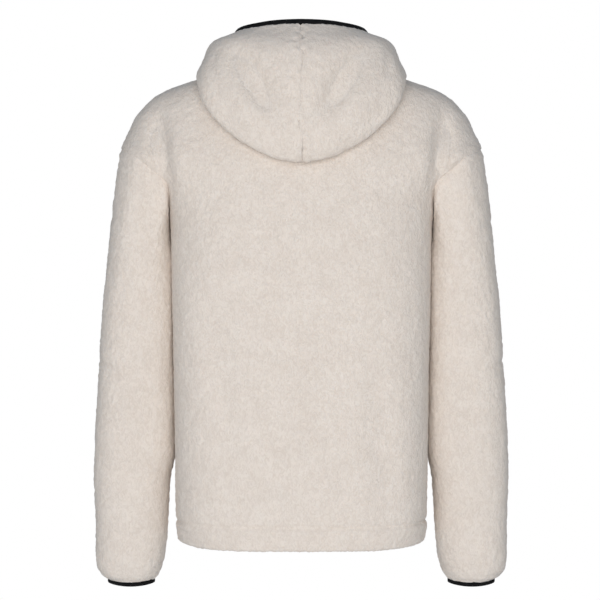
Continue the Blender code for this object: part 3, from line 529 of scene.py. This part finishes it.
def even_seam_normals(back_normals, front_normals):
    """Gives both panels the same direction along the side seam and the shoulder seam."""
    _, armpit, tip = body_rows()
    for rows in (slice(0, armpit), slice(tip, None)):
        shared = unit(back_normals[rows, 0] + front_normals[rows, 0])
        back_normals[rows, 0] = shared
        front_normals[rows, 0] = shared


def sleeve_ring(height, turns, side):
    down = np.array([-height])
    at = {name: smooth_through(-SLEEVE["height"], values, down)[0] for name, values in SLEEVE.items()}
    across, deep = np.cos(turns), np.sin(turns)
    power = 2 / at["squareness"]
    x = at["centre_x"] + at["half_width"] * np.sign(across) * np.abs(across) ** power
    y = at["centre_y"] + at["half_depth"] * np.sign(deep) * np.abs(deep) ** power
    share = min(1.0, max(0.0, (height - CUFF_DIP_FROM) / (SLEEVE["height"][-1] - CUFF_DIP_FROM)))
    return np.stack([side * x, y, height - CUFF_DIP * share * share * deep**2], axis=1)


def loop_turns(loop):
    """Where each armhole point goes round the sleeve: pi at the armpit, 0 at the shoulder tip."""
    count = len(loop) // 2
    closed = np.concatenate([loop, loop[:1]])
    up = distance_along(closed[: count + 1])
    down = distance_along(closed[count:])
    back = np.pi * (1 - up / up[-1])
    front = -np.pi * down / down[-1]
    return np.concatenate([back, front[1:-1]])


def leaving_direction(turns, side):
    """Which way the sleeve's cloth leaves the armhole."""
    at_tip = np.clip(np.cos(turns), 0, 1)[:, None]
    at_armpit = np.clip(-np.cos(turns), 0, 1)[:, None]
    direction = LEAVE_TIP * at_tip + LEAVE_ARMPIT * at_armpit + LEAVE_SIDES * (1 - at_tip - at_armpit)
    return unit(direction * np.array([side, 1.0, 1.0]))


def sleeve_grid(loop, side):
    """Rings of the sleeve from the armhole down to the cuff."""
    turns = loop_turns(loop)
    top = SLEEVE["height"][0]
    first_ring = sleeve_ring(top, turns, side)
    second_ring = sleeve_ring(top - 1, turns, side)
    length = np.linalg.norm(first_ring - loop, axis=1)[:, None]
    leaving = leaving_direction(turns, side) * length
    arriving = (second_ring - first_ring) * length
    shares = np.linspace(0, 1, SLEEVE_TOP_ROWS + 1)[:-1]
    rings = [eased(t, loop, leaving, first_ring, arriving) for t in shares]
    travel = running(np.hypot(np.diff(SLEEVE["height"]), np.diff(SLEEVE["half_width"])))
    cuff_start = travel[CUFF_ROWS_START]
    straight = np.linspace(0, cuff_start, SLEEVE_LOW_ROWS + 1)
    rounded = np.linspace(cuff_start, travel[-1], CUFF_ROWS + 1)
    for s in np.concatenate([straight, rounded[1:]]):
        height = smooth_through(travel, SLEEVE["height"], np.array([s]))[0]
        rings.append(sleeve_ring(height, turns, side))
    return np.array(rings)


def hood_profile(ring_point, turn):
    """Control points of the hood above one point of the neck seam."""
    at = {name: smooth_through(HOOD["turn"], values, np.array([turn]))[0] for name, values in HOOD.items()}
    outward = level(ring_point)
    points = [ring_point]
    for name in ("under", "lower", "fold", "low", "bulge", "top", "rim"):
        points.append(outward * at[name + "_out"] + UP * at[name + "_up"])
    return np.array(points)


def through_points(points, count):
    """Evenly spaced points on a smooth curve through the given points."""
    padded = np.concatenate([[2 * points[0] - points[1]], points, [2 * points[-1] - points[-2]]])
    pieces = []
    t = np.linspace(0, 1, CURVE_STEPS + 1)[:-1, None]
    for a, b, c, d in zip(padded, padded[1:], padded[2:], padded[3:]):
        bent = (2 * a - 5 * b + 4 * c - d) * t * t
        pieces.append(0.5 * (2 * b + (c - a) * t + bent + (3 * b - a - 3 * c + d) * t**3))
    curve = np.concatenate(pieces + [points[-1:]])
    along = distance_along(curve)
    return points_at(np.linspace(0, along[-1], count + 1), along, curve)


def keep_off(rows, tree, gaps):
    """Moves the points of each row that lie on or in the body out to the row's gap."""
    moved = rows.copy()
    for row, gap in zip(moved, gaps):
        for point in row:
            place, normal, _, _ = tree.find_nearest(Vector(point))
            height = (Vector(point) - place).dot(normal)
            if height < gap:
                point += (gap - height) * np.array(normal)
    return moved


def grid_faces(grid):
    """Two triangles for each cell of a grid, which meet on the cell's shorter diagonal."""
    rows, columns = grid.shape[:2]
    flat = grid.reshape(-1, 3)
    faces = []
    for i in range(rows - 1):
        for j in range(columns - 1):
            a = i * columns + j
            b, c, d = a + 1, a + columns + 1, a + columns
            if np.linalg.norm(flat[a] - flat[c]) <= np.linalg.norm(flat[b] - flat[d]):
                faces += [(a, b, c), (a, c, d)]
            else:
                faces += [(a, b, d), (b, c, d)]
    return faces


def body_tree(parts):
    """The body's outer faces on one side, for the hood to lie on."""
    corners = []
    faces = []
    for name in ("back", "front"):
        outer = parts[name][0][::COARSE_STEP, ::COARSE_STEP]
        flat = outer.reshape(-1, 3)
        normals = outward_normals(outer, body_axis(outer)).reshape(-1, 3)
        start = len(corners)
        corners += [Vector(point) for point in flat]
        for a, b, c in grid_faces(outer):
            faces_out = np.cross(flat[b] - flat[a], flat[c] - flat[a]).dot(normals[a]) > 0
            second, third = (b, c) if faces_out else (c, b)
            faces.append((start + a, start + second, start + third))
    return BVHTree.FromPolygons(corners, faces)


def hood_normals(grid):
    """Unit normals on the side that shows: outwards over the bulge."""
    normals = unit(np.cross(np.gradient(grid, axis=1), np.gradient(grid, axis=0)))
    if normals[len(grid) * 3 // 4, -2][1] < 0:
        normals = -normals
    normals[:, -1] = unit(normals[:, -1] * IN_THE_MIDDLE)
    return normals


def hashed(cells, seed):
    """A fixed random number from 0 to 1 for each cell of a lattice."""
    mixed = cells[..., 0] * 73856093 ^ cells[..., 1] * 19349663 ^ cells[..., 2] * 83492791
    mixed = mixed ^ (seed * 40503 + 977)
    mixed = (mixed ^ (mixed >> 13)) * 1274126177
    mixed = (mixed ^ (mixed >> 16)) * 668265263
    return ((mixed >> 11) & 65535) / 65535


def smooth_noise(points, size, seed):
    """Smooth noise from -1 to 1 whose lumps are about the given size."""
    at = points / size
    low = np.floor(at).astype(np.int64)
    part = at - low
    part = part * part * (3 - 2 * part)
    total = np.zeros(points.shape[:-1])
    for corner in product((0, 1), repeat=3):
        weight = np.prod(np.where(corner, part, 1 - part), axis=-1)
        total += weight * hashed(low + np.array(corner), seed)
    return 2 * total - 1


def tufts(points, size, seed):
    """Rounded tufts of pile, one to a cell and some taller than others: 0 between them, up to 1 on top."""
    at = points / size
    low = np.floor(at).astype(np.int64)
    nearest = np.full(points.shape[:-1], 9.0)
    height = np.ones(points.shape[:-1])
    for corner in product((-1, 0, 1), repeat=3):
        cell = low + np.array(corner)
        centre = cell + np.stack([hashed(cell, seed + k) for k in range(3)], axis=-1)
        far = ((at - centre) ** 2).sum(axis=-1)
        height = np.where(far < nearest, 1 - TUFT_UNEVEN * hashed(cell, seed + 3), height)
        nearest = np.minimum(nearest, far)
    return height * np.sqrt(np.maximum(0, 1 - nearest))


def pile(points, seed):
    """How far the pile stands off the cloth's form at each point."""
    return (
        TUFT_HEIGHT * (tufts(points, TUFT_SIZE, seed) - TUFT_LEVEL)
        + LUMP_HEIGHT * smooth_noise(points, LUMP_SIZE, seed + 7)
        + SAG_HEIGHT * smooth_noise(points, SAG_SIZE, seed + 11)
    )


def calmed(out):
    """How tall the pile stands: less where it lies flat on top of the shoulders and the hood."""
    return 1 - PILE_LIES_ON_TOP * np.clip(out[..., 2], 0, 1)


def fringed(base, rows, seed):
    """The form with the tufts of its edge reaching a little past it. rows are the edge's and the next."""
    made = base.copy()
    edge, beside = rows
    ahead = unit(base[edge] - base[beside])
    reach = FRINGE * (tufts(base[edge], FRINGE_SIZE, seed) - FRINGE_LEVEL)
    made[edge] += ahead * reach[:, None]
    return made


def nearest_in(points, grid):
    """Distance from each grid point to the nearest of the points, and that point's number."""
    tree = KDTree(len(points))
    for number, point in enumerate(points):
        tree.insert(Vector(point), number)
    tree.balance()
    found = [tree.find(Vector(point)) for point in grid.reshape(-1, 3)]
    far = np.array([f[2] for f in found]).reshape(grid.shape[:-1])
    number = np.array([f[1] for f in found]).reshape(grid.shape[:-1])
    return far, number


def outward_field(outer, normals, seams):
    """The way out of the cloth: its normal, turned near each seam to the seam's own direction."""
    out = normals.copy()
    for points, inward in seams:
        far, number = nearest_in(points, outer)
        share = nearness(far, TURN_REACH)[..., None]
        out = out * (1 - share) - inward[number] * share
    return unit(out)


def seam_relief(far):
    """The valley at a sewn seam, with the cloth a little proud beside it."""
    valley = -SEAM_VALLEY * nearness(far, SEAM_VALLEY_REACH)
    return valley + SEAM_SHOULDER * nearness(far - SEAM_SHOULDER_AT, SEAM_SHOULDER_REACH)


def border_runs(rows, columns, wraps):
    """Closed runs of (row, column) round the edge of a grid."""
    if wraps:
        return [[(0, j) for j in range(columns)], [(rows - 1, j) for j in reversed(range(columns))]]
    run = [(0, j) for j in range(columns)]
    run += [(i, columns - 1) for i in range(1, rows)]
    run += [(rows - 1, j) for j in range(columns - 2, -1, -1)]
    run += [(i, 0) for i in range(rows - 2, 0, -1)]
    return [run]


def shell(base, out, lift, bulge, wraps=False):
    """Points and faces of the closed thin cloth: a fine face, rounded edges and a coarser inside."""
    rows, columns = base.shape[:2]
    face = base + out * lift[..., None]
    back = base - out * (WALL + INSIDE_PILE * lift[..., None])
    number = np.arange(rows * columns).reshape(rows, columns)
    right = np.roll(number, -1, axis=1) if wraps else number[:, 1:]
    left = number if wraps else number[:, :-1]
    faces = np.stack([left[:-1], right[:-1], right[1:], left[1:]], axis=-1).reshape(-1, 4).tolist()
    kept = np.zeros((rows, columns), bool)
    kept[::INSIDE_STEP, ::INSIDE_STEP] = True
    runs = border_runs(rows, columns, wraps)
    for run in runs:
        for i, j in run:
            kept[i, j] = True
    inside = np.full((rows, columns), -1)
    inside[kept] = rows * columns + np.arange(kept.sum())
    points = [face.reshape(-1, 3), back[kept]]
    count = rows * columns + int(kept.sum())
    for run in runs:
        i, j = np.array(run).T
        near_i = np.clip(i, 3, rows - 4)
        near_j = j if wraps else np.clip(j, 3, columns - 4)
        away = unit(base[i, j] - base[near_i, near_j])
        rings = [number[i, j]]
        for ring in range(1, RIM_RINGS + 1):
            share = ring / (RIM_RINGS + 1)
            swell = (bulge[i, j] * math.sin(math.pi * share) ** 0.4)[:, None]
            points.append(face[i, j] * (1 - share) + back[i, j] * share + away * swell)
            rings.append(count + np.arange(len(run)))
            count += len(run)
        rings.append(inside[i, j])
        for first, second in zip(rings, rings[1:]):
            strip = np.stack([np.roll(first, -1), first, second, np.roll(second, -1)], axis=-1)
            faces += strip.tolist()
    for i in range(0, rows - 1, INSIDE_STEP):
        for j in range(0, columns if wraps else columns - 1, INSIDE_STEP):
            low, high, first, last = i, i + INSIDE_STEP, j, j + INSIDE_STEP
            run = [(low, n) for n in range(first, last)] + [(n, last) for n in range(low, high)]
            run += [(high, n) for n in range(last, first, -1)] + [(n, first) for n in range(high, low, -1)]
            corners = [int(inside[a, b % columns]) for a, b in run if kept[a, b % columns]]
            faces.append(corners[::-1])
    return np.concatenate(points), faces


def new_object(name, data, place=(0, 0, 0)):
    made = bpy.data.objects.new(name, data)
    made.location = place
    bpy.context.scene.collection.objects.link(made)
    return made


def mesh_object(name, points, faces, finish, outward=None, smooth=True):
    """A piece from points in millimetres. outward is a point and a direction to turn its faces by."""
    mesh = bpy.data.meshes.new(name)
    mesh.from_pydata((np.asarray(points) * MM).tolist(), [], faces)
    if outward is not None:
        place, direction = outward
        nearest = min(mesh.polygons, key=lambda f: (f.center / MM - Vector(place)).length)
        if nearest.normal.dot(Vector(direction)) < 0:
            mesh.flip_normals()
    if smooth:
        mesh.shade_smooth()
    mesh.materials.append(finish)
    made = new_object(name, mesh)
    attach(made, "garment")
    return made


def fleece_piece(name, base, edge, seed, out, lift, bulge, finish, facing, wraps=False):
    """A fleece panel as thin cloth, with tufts that reach a little past the edge."""
    points, faces = shell(fringed(base, edge, seed), out, lift, bulge, wraps)
    return mesh_object(name, points, faces, finish, facing)


def body_side(side):
    """Grids of half the back and of one front with their normals, and the seams' frames."""
    back = with_folds(body_half(1, 0.0, COLUMNS_HALF_BACK), 1, side)
    front = with_folds(body_half(-1, ZIP_HALF_GAP, COLUMNS_FRONT), -1, side)
    back_normals = outward_normals(back, body_axis(back))
    front_normals = outward_normals(front, body_axis(front))
    even_seam_normals(back_normals, front_normals)
    back_normals[:, -1] = unit(back_normals[:, -1] * IN_THE_MIDDLE)
    loop = armhole_loop(back, front)
    ring = neck_ring(back, front)
    return {
        "back": (back, back_normals),
        "front": (front, front_normals),
        "loop": (loop, *armhole_frame(loop)),
        "ring": (ring, *neck_frame(ring)),
    }


def small_dents(dents, grid, side):
    """Short soft dents, listed one by one: each fades out around its own place."""
    x, z = grid[..., 0], grid[..., 2]
    total = np.zeros(x.shape)
    for dent_side, at_x, at_z, wide, tall, tilt, depth in dents:
        across = (x - at_x) / wide
        up = (z - at_z - tilt * (x - at_x)) / tall
        total -= (dent_side == side) * depth * np.exp(-(across**2) - up**2)
    return total


def pressed(base, axis, side):
    """How far the sleeve's cloth swells into the hollow between it and the body, behind and before."""
    toward = -side * unit(base - axis)[..., 0]
    beside = np.exp(-(((base[..., 2] - PRESS_HEIGHT) / PRESS_REACH) ** 4))
    return PRESS_DEPTH * np.clip((toward - PRESS_FROM) / PRESS_EASE, 0, 1) * beside


def hem_relief():
    """The hem's stitch line and the turned-up cloth below it, for each row of the body."""
    from_stitch = body_rows()[0][:, None] - HEM_STITCH_UP
    line = -HEM_STITCH_DEPTH * nearness(from_stitch, HEM_STITCH_REACH)
    return line + HEM_LAYER / (1 + np.exp(from_stitch / HEM_LAYER_EASE))


def back_panel(sides, finish):
    grids = [sides[s]["back"] for s in (1, -1)]
    base, normals = (np.concatenate([grids[0][k], grids[1][k][:, -2::-1]], axis=1) for k in (0, 1))
    seams = [sides[s][k][:2] for s in (1, -1) for k in ("loop", "ring")]
    out = outward_field(base, normals, seams)
    sewn = np.concatenate([base[:, 0], base[:, -1], base[-1]])
    far, _ = nearest_in(sewn, base)
    lift = pile(base, 100) * calmed(out) + seam_relief(far) + hem_relief()
    lift += small_dents(BACK_DENTS, base, 1)
    bulge = np.full(base.shape[:2], SEAM_CLOSING)
    bulge[0] = HEM_BULGE
    facing = ((0, 140, -400), (0, 1, 0))
    return fleece_piece("back_fleece", base, (0, 1), 120, out, lift, bulge, finish, facing)


def front_panel(side, name, parts, finish):
    base, normals = parts["front"]
    out = outward_field(base, normals, [parts["loop"][:2], parts["ring"][:2]])
    sewn = np.concatenate([base[:, 0], base[-1]])
    far, _ = nearest_in(sewn, base)
    to_zip = np.linalg.norm(base - base[:, -1:], axis=-1)
    stitch = -ZIP_STITCH_DEPTH * nearness(to_zip - ZIP_STITCH_IN, ZIP_STITCH_REACH)
    lift = pile(base, 200) * calmed(out) + seam_relief(far) + hem_relief() + stitch
    bulge = np.full(base.shape[:2], SEAM_CLOSING)
    bulge[0] = HEM_BULGE
    bulge[:, -1] = ZIP_EDGE_BULGE
    facing = ((side * 90, -130, -400), (0, -1, 0))
    return fleece_piece(f"front_{name}_fleece", base, (0, 1), 220, out, lift, bulge, finish, facing)


def sleeve_panel(side, name, parts, finish):
    loop, into_wall, _ = parts["loop"]
    base = sleeve_grid(loop, side)
    axis = base.mean(axis=1, keepdims=True)
    normals = outward_normals(base, axis, wraps=True)
    cuff = base[-1]
    level_in = level(axis[-1] - cuff)
    out = outward_field(base, normals, [(loop, into_wall), (cuff, level_in)])
    far, _ = nearest_in(loop, base)
    under, _ = nearest_in(base[:, 0], base)
    lift = pile(base, 300) + seam_relief(far) + UNDERARM_SEAM * seam_relief(under)
    seen_from_behind = base[..., 1] > SLEEVE_DENTS_BEHIND
    lift += small_dents(SLEEVE_DENTS, base, side) * seen_from_behind
    lift += pressed(base, axis, side)
    bulge = np.full(base.shape[:2], SEAM_CLOSING)
    facing = ((side * 300, -40, -450), (side, 0, 0))
    edge = (-1, -2)
    made = fleece_piece(f"sleeve_{name}_fleece", base, edge, 320, out, lift, bulge, finish, facing, True)
    return made, cuff, cuff - out[-1] * WALL


def hood_grid(parts):
    ring = parts["ring"][0]
    columns = []
    for point in ring:
        turn = math.degrees(math.atan2(abs(point[0]), -point[1]))
        columns.append(through_points(hood_profile(point, turn), HOOD_ROWS))
    grid = np.stack(columns, axis=1)
    from_seam = np.linspace(0, CAD_HOOD_ROWS, len(grid))
    gaps = HOOD_REST_GAP * np.minimum(1, from_seam / HOOD_GAP_ROWS)
    grid[1:] = keep_off(grid[1:], body_tree(parts), gaps[1:])
    normals = hood_normals(grid)
    showing = np.linspace(0, 1, len(grid))[:, None] > HOOD_SHOWS_FROM
    behind = grid[..., 1] > 0
    depth = fold_depth(HOOD_FOLDS, 1, grid)
    return grid - normals * (depth * showing * behind)[..., None]


def hood_panel(side, name, parts, finish):
    base = hood_grid(parts)
    ring, neck_in, _ = parts["ring"]
    out = outward_field(base, hood_normals(base), [(ring, neck_in)])
    to_neck, _ = nearest_in(base[0], base)
    centre = base[:, -1]
    hidden = np.exp(-(((centre[:, 2] - HOOD_SEAM_HIDES_AT) / HOOD_SEAM_HIDES_REACH) ** 4))
    uneven = np.clip(0.65 + 1.3 * smooth_noise(centre, HOOD_SEAM_LENGTHS, 480), 0, 1.2)
    strength = HOOD_SEAM * (1 - HOOD_SEAM_HIDES * hidden) * uneven
    to_centre = np.linalg.norm(base - centre[:, None], axis=-1)
    wobble = HOOD_SEAM_WOBBLE * smooth_noise(centre * IN_THE_MIDDLE, HOOD_SEAM_LENGTHS, 490)
    base[..., 0] += wobble[:, None] * nearness(to_centre, HOOD_SEAM_WOBBLE_REACH)
    lift = pile(base, 400) * calmed(out) + NECK_SEAM * seam_relief(to_neck)
    lift += strength[:, None] * seam_relief(to_centre)
    lift += small_dents(HOOD_DENTS, base, side) * (base[..., 1] > 0)
    bulge = np.full(base.shape[:2], SEAM_CLOSING)
    bulge[:, -1] = HOOD_SEAM_CLOSING - HOOD_SEAM_OPENS * strength / HOOD_SEAM
    facing = ((side * 60, 150, -70), (0, 1, 0))
    made = fleece_piece(f"hood_{name}_fleece", base, (-1, -2), 420, out, lift, bulge, finish, facing)
    return made, base[-1], base[-1] - out[-1] * WALL, base[-2]


def binding(name, outer, inner, before, height, finish, wraps, upright=0.0):
    """An elastic band that folds over a cloth's edge."""
    ahead = unit(unit(outer - before) + UP * upright)
    rings = np.stack([outer + (inner - outer) * a + ahead * (u * height) for a, u in BINDING_SECTION])
    count, length = rings.shape[:2]
    faces = []
    for i in range(count):
        k = (i + 1) % count
        for j in range(length if wraps else length - 1):
            n = (j + 1) % length
            faces.append((i * length + j, i * length + n, k * length + n, k * length + j))
    if not wraps:
        faces.append([i * length for i in range(count)])
        faces.append([i * length + length - 1 for i in reversed(range(count))])
    middle = len(outer) // 3
    outward = (tuple(rings[1][middle]), tuple(outer[middle] - inner[middle]))
    return mesh_object(name, rings.reshape(-1, 3), faces, finish, outward)


def zip_teeth(side, name, parts, finish):
    """Small boxes along the front's edge, half a step higher on one side, with slimmer outer ends."""
    base, normals = parts["front"]
    line = base[:-1, -1] * IN_THE_MIDDLE
    outward = unit(normals[:-1, -1] * IN_THE_MIDDLE)
    travel = distance_along(line)
    start = TEETH_START + (0.0 if side > 0 else TOOTH_PITCH / 2)
    places = np.arange(start, travel[-1] - TEETH_END, TOOTH_PITCH)
    out = unit(points_at(places, travel, outward))
    along = unit(points_at(places, travel, np.gradient(line, axis=0)))
    across = np.array([side, 0.0, 0.0])
    centres = points_at(places, travel, line) - out * (TAPE_DEPTH - TOOTH_UP) + across * TOOTH_ASIDE
    length, width, height = TOOTH_HALVES
    points = []
    faces = []
    for n, (centre, ahead, up) in enumerate(zip(centres, along, out)):
        for i, j, k in product((-1, 1), repeat=3):
            slim = 1.0 if j * side > 0 else TOOTH_SLIM
            points.append(centre + ahead * length * i * slim + across * width * j + up * height * k)
        faces += [tuple(8 * n + corner for corner in quad) for quad in TOOTH_FACES]
    mesh_object(f"zip_teeth_{name}", points, faces, finish, smooth=False)


def stitch_row(name, path, outward, finish):
    """A row of thread stitches along a path: a slim, pointed piece for each."""
    travel = distance_along(path)
    starts = np.arange(STITCH_PITCH, travel[-1] - STITCH_PITCH, STITCH_PITCH)
    points = []
    faces = []
    for n, s in enumerate(starts):
        a, m, b = (points_at(s + share * STITCH_LENGTH, travel, path) for share in (0, 0.5, 1))
        out = unit(points_at(s, travel, outward))
        side = unit(np.cross(b - a, out))
        round_middle = [m + way * STITCH_RADIUS for way in (out, side, -out, -side)]
        points += [a - out * STITCH_RADIUS, *round_middle, b - out * STITCH_RADIUS]
        o = 6 * n
        for k in range(4):
            first, second = o + 1 + k, o + 1 + (k + 1) % 4
            faces += [(o, first, second), (o + 5, second, first)]
    mesh_object(name, points, faces, finish)


def node(tree, kind, inputs=(), **settings):
    """A new shader node. Each input is a value or another node's output."""
    made = tree.nodes.new("ShaderNode" + kind)
    for name, value in settings.items():
        setattr(made, name, value)
    feed(tree, made, inputs)
    return made


def feed(tree, made, inputs):
    for name, value in dict(inputs).items():
        if isinstance(value, bpy.types.NodeSocket):
            tree.links.new(value, made.inputs[name])
        else:
            made.inputs[name].default_value = value


def material(name, looks):
    """A new material. looks is a function of its nodes and of the place on the piece that paint goes by."""
    made = bpy.data.materials.new(name)
    made.use_nodes = True
    tree = made.node_tree
    place = node(tree, "TexCoord").outputs["Object"]
    feed(tree, tree.nodes["Principled BSDF"], looks(tree, place))
    return made


def noise(tree, place, scale, detail, distortion=0.0):
    inputs = {"Vector": place, "Scale": scale, "Detail": detail, "Roughness": 0.5, "Distortion": distortion}
    return node(tree, "TexNoise", inputs).outputs["Fac"]


def mixed(tree, factor, first, second, low=0.3, high=0.7):
    """Colour that runs from the first to the second as the factor runs from low to high."""
    ramp = node(tree, "ValToRGB", {"Fac": factor})
    for stop, position, colour in zip(ramp.color_ramp.elements, (low, high), (first, second)):
        stop.position = position
        stop.color = (*colour, 1)
    return ramp.outputs["Color"]


def bumped(tree, height, strength, distance, before=None):
    inputs = {"Height": height, "Strength": strength, "Distance": distance}
    if before is not None:
        inputs["Normal"] = before
    return node(tree, "Bump", inputs).outputs["Normal"]


def fleece_looks(tree, place):
    """Cream teddy pile: short curls, a soft sheen and slightly uneven colour, with painted shade in the
    curls' hollows and painted light on their tops.
    """
    stretched = node(tree, "VectorMath", {0: place, 1: (1.0, 1.0, 0.6)}, operation="MULTIPLY").outputs[0]
    curls = noise(tree, stretched, 235, 1, 1.6)
    strands = noise(tree, place, 900, 2)
    colours = {
        "Factor": 1.0,
        "A": mixed(tree, noise(tree, place, 34, 3), FLEECE_DEEP, FLEECE_LIGHT),
        # painted shade in the curls' hollows and painted light on their tops, from the same noise as the
        # bump
        "B": mixed(tree, curls, CURL_ROOT_PAINTED_SHADE, CURL_TIP_PAINTED_LIGHT, 0.36, 0.6),
    }
    return {
        "Base Color": node(tree, "Mix", colours, data_type="RGBA", blend_type="MULTIPLY").outputs["Result"],
        "Normal": bumped(tree, strands, 0.35, 0.0006, bumped(tree, curls, 0.55, 0.002)),
        "Subsurface Weight": 0.15,
        "Subsurface Radius": (1.0, 0.85, 0.7),
        "Subsurface Scale": 0.003,
        "Roughness": 0.95,
        "Specular IOR Level": 0.15,
        "Sheen Weight": 0.12,
        "Sheen Roughness": 0.6,
    }


def knit_looks(tree, place):
    """Black elastic: fine ribs across the band."""
    ribs = node(tree, "TexVoronoi", {"Vector": place, "Scale": 900}).outputs["Distance"]
    wear = noise(tree, place, 120, 3)
    return {
        "Base Color": mixed(tree, wear, (0.003, 0.003, 0.0035), (0.009, 0.009, 0.010)),
        "Normal": bumped(tree, ribs, 0.5, 0.0006),
        "Roughness": 0.85,
        "Specular IOR Level": 0.12,
    }


def tape_looks(tree, place):
    """Black zip tape with a fine twill."""
    wave = {"Vector": place, "Scale": 300, "Distortion": 0.6}
    twill = node(tree, "TexWave", wave, bands_direction="DIAGONAL").outputs["Fac"]
    return {
        "Base Color": mixed(tree, twill, (0.009, 0.009, 0.010), (0.022, 0.022, 0.024)),
        "Normal": bumped(tree, twill, 0.4, 0.0004),
        "Roughness": 0.8,
    }


def metal_looks(tree, place):
    """Dark painted metal, a little uneven in its polish."""
    wear = noise(tree, place, 260, 4)
    polish = node(tree, "MapRange", {"Value": wear, "To Min": 0.28, "To Max": 0.46}).outputs["Result"]
    colour = mixed(tree, wear, (0.022, 0.022, 0.024), (0.045, 0.045, 0.048))
    return {"Base Color": colour, "Roughness": polish, "Metallic": 0.85}


def thread_looks(tree, place):
    colour = mixed(tree, noise(tree, place, 1500, 2), (0.50, 0.45, 0.39), (0.66, 0.60, 0.53))
    return {"Base Color": colour, "Roughness": 0.7}


def floor_looks(tree, place):
    colour = mixed(tree, noise(tree, place, 6, 3), (0.80, 0.80, 0.79), (0.84, 0.84, 0.83))
    return {"Base Color": colour, "Roughness": 0.9}


def give(node, finish):
    """A better finish for a node that keeps its solid."""
    node.data.materials.clear()
    node.data.materials.append(finish)


def build_garment():
    fleece = material("cream_teddy_fleece", fleece_looks)
    knit = material("black_elastic_knit", knit_looks)
    metal = material("dark_painted_metal", metal_looks)
    tape = material("black_zip_tape_twill", tape_looks)
    thread = material("cream_thread", thread_looks)
    sides = {side: body_side(side) for side in (1, -1)}
    back = back_panel(sides, fleece)
    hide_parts("back")
    sheets = [(back, "back")]
    rims = {}
    for side, name in ((1, "left"), (-1, "right")):
        parts = sides[side]
        front = front_panel(side, name, parts, fleece)
        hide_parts(f"front_{name}")
        sleeve, outer, inner = sleeve_panel(side, name, parts, fleece)
        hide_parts(f"sleeve_{name}")
        cuff = binding(f"cuff_band_{name}", outer, inner, outer + UP, CUFF_BINDING_HEIGHT, knit, True)
        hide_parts(f"cuff_binding_{name}")
        hood, *rims[side] = hood_panel(side, name, parts, fleece)
        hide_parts(f"hood_{name}")
        sheets += [(front, "front"), (sleeve, "sleeve"), (hood, "hood"), (cuff, f"cuff_{name}")]
        zip_teeth(side, name, parts, metal)
        base, normals = parts["front"]
        outward = normals[STITCH_ROWS, STITCH_COLUMN]
        path = base[STITCH_ROWS, STITCH_COLUMN] - outward * STITCH_SINK
        stitch_row(f"zip_stitches_{name}", path, outward, thread)
        give(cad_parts[f"zip_tape_{name}"], tape)
    rim = [np.concatenate([rims[1][k], rims[-1][k][-2::-1]]) for k in range(3)]
    band = binding("hood_band", *rim, BINDING_HEIGHT, knit, False, BINDING_STANDS_UP)
    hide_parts("hood_binding")
    sheets.append((band, "hood_band"))
    for node in ("zip_slider", "zip_pull", "zip_box"):
        give(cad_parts[node], metal)


def soft_light(name, place, power):
    data = bpy.data.lights.new(name, "AREA")
    data.shape = "SQUARE"
    data.size = LIGHT_SIZE
    data.energy = power
    data.color = KEY_COLOUR
    made = new_object(name, data, place)
    made.rotation_euler = (Vector(LIGHT_AIM) - Vector(place)).to_track_quat("-Z", "Y").to_euler()


def build_camera():
    camera = new_object("camera", bpy.data.cameras.new("camera"), CAMERA_PLACE)
    camera.data.sensor_width = SENSOR
    camera.data.lens = LENS
    camera.data.clip_end = FAR_CLIP
    camera.rotation_euler = (math.radians(90), 0, math.radians(180))
    bpy.context.scene.camera = camera


def build_world():
    """White to the eye, and a soft light all round that changes with the height it comes from."""
    world = bpy.data.worlds.new("white_studio")
    world.use_nodes = True
    bpy.context.scene.world = world
    tree = world.node_tree
    tree.nodes.clear()
    seen = node(tree, "Background", {"Color": (1, 1, 1, 1)}).outputs["Background"]
    height = node(tree, "SeparateXYZ", {0: node(tree, "TexCoord").outputs["Generated"]}).outputs["Z"]
    share = node(tree, "MapRange", {"From Min": -1.0, "From Max": 1.0, "Value": height}).outputs["Result"]
    ramp = node(tree, "ValToRGB", {"Fac": share})
    stops = ramp.color_ramp.elements
    for position, red, green, blue in AMBIENT_BY_HEIGHT:
        stop = stops[0] if position == 0 else stops[-1] if position == 1 else stops.new(position)
        stop.color = (red, green, blue, 1)
    ambient = node(tree, "Background", {"Color": ramp.outputs["Color"]}).outputs["Background"]
    seen_directly = node(tree, "LightPath").outputs["Is Camera Ray"]
    mix = node(tree, "MixShader", {"Fac": seen_directly, 1: ambient, 2: seen})
    node(tree, "OutputWorld", {"Surface": mix.outputs["Shader"]})


def build_floor():
    mesh = bpy.data.meshes.new("floor")
    corners = [(x * FLOOR_HALF, y * FLOOR_HALF, 0) for x, y in ((-1, -1), (1, -1), (1, 1), (-1, 1))]
    mesh.from_pydata(corners, [], [(0, 1, 2, 3)])
    mesh.materials.append(material("pale_floor", floor_looks))
    new_object("floor", mesh, (0, 0, FLOOR_HEIGHT))


def build_studio():
    """Camera, lights, pale floor far below and a white world."""
    build_camera()
    soft_light("key", (0.2, 4.6, -0.25), KEY_POWER)
    soft_light("front_fill", (-0.2, -4.6, 0.2), FRONT_POWER)
    build_world()
    build_floor()
    bpy.context.scene.view_settings.view_transform = "Standard"


build_garment()
build_studio()
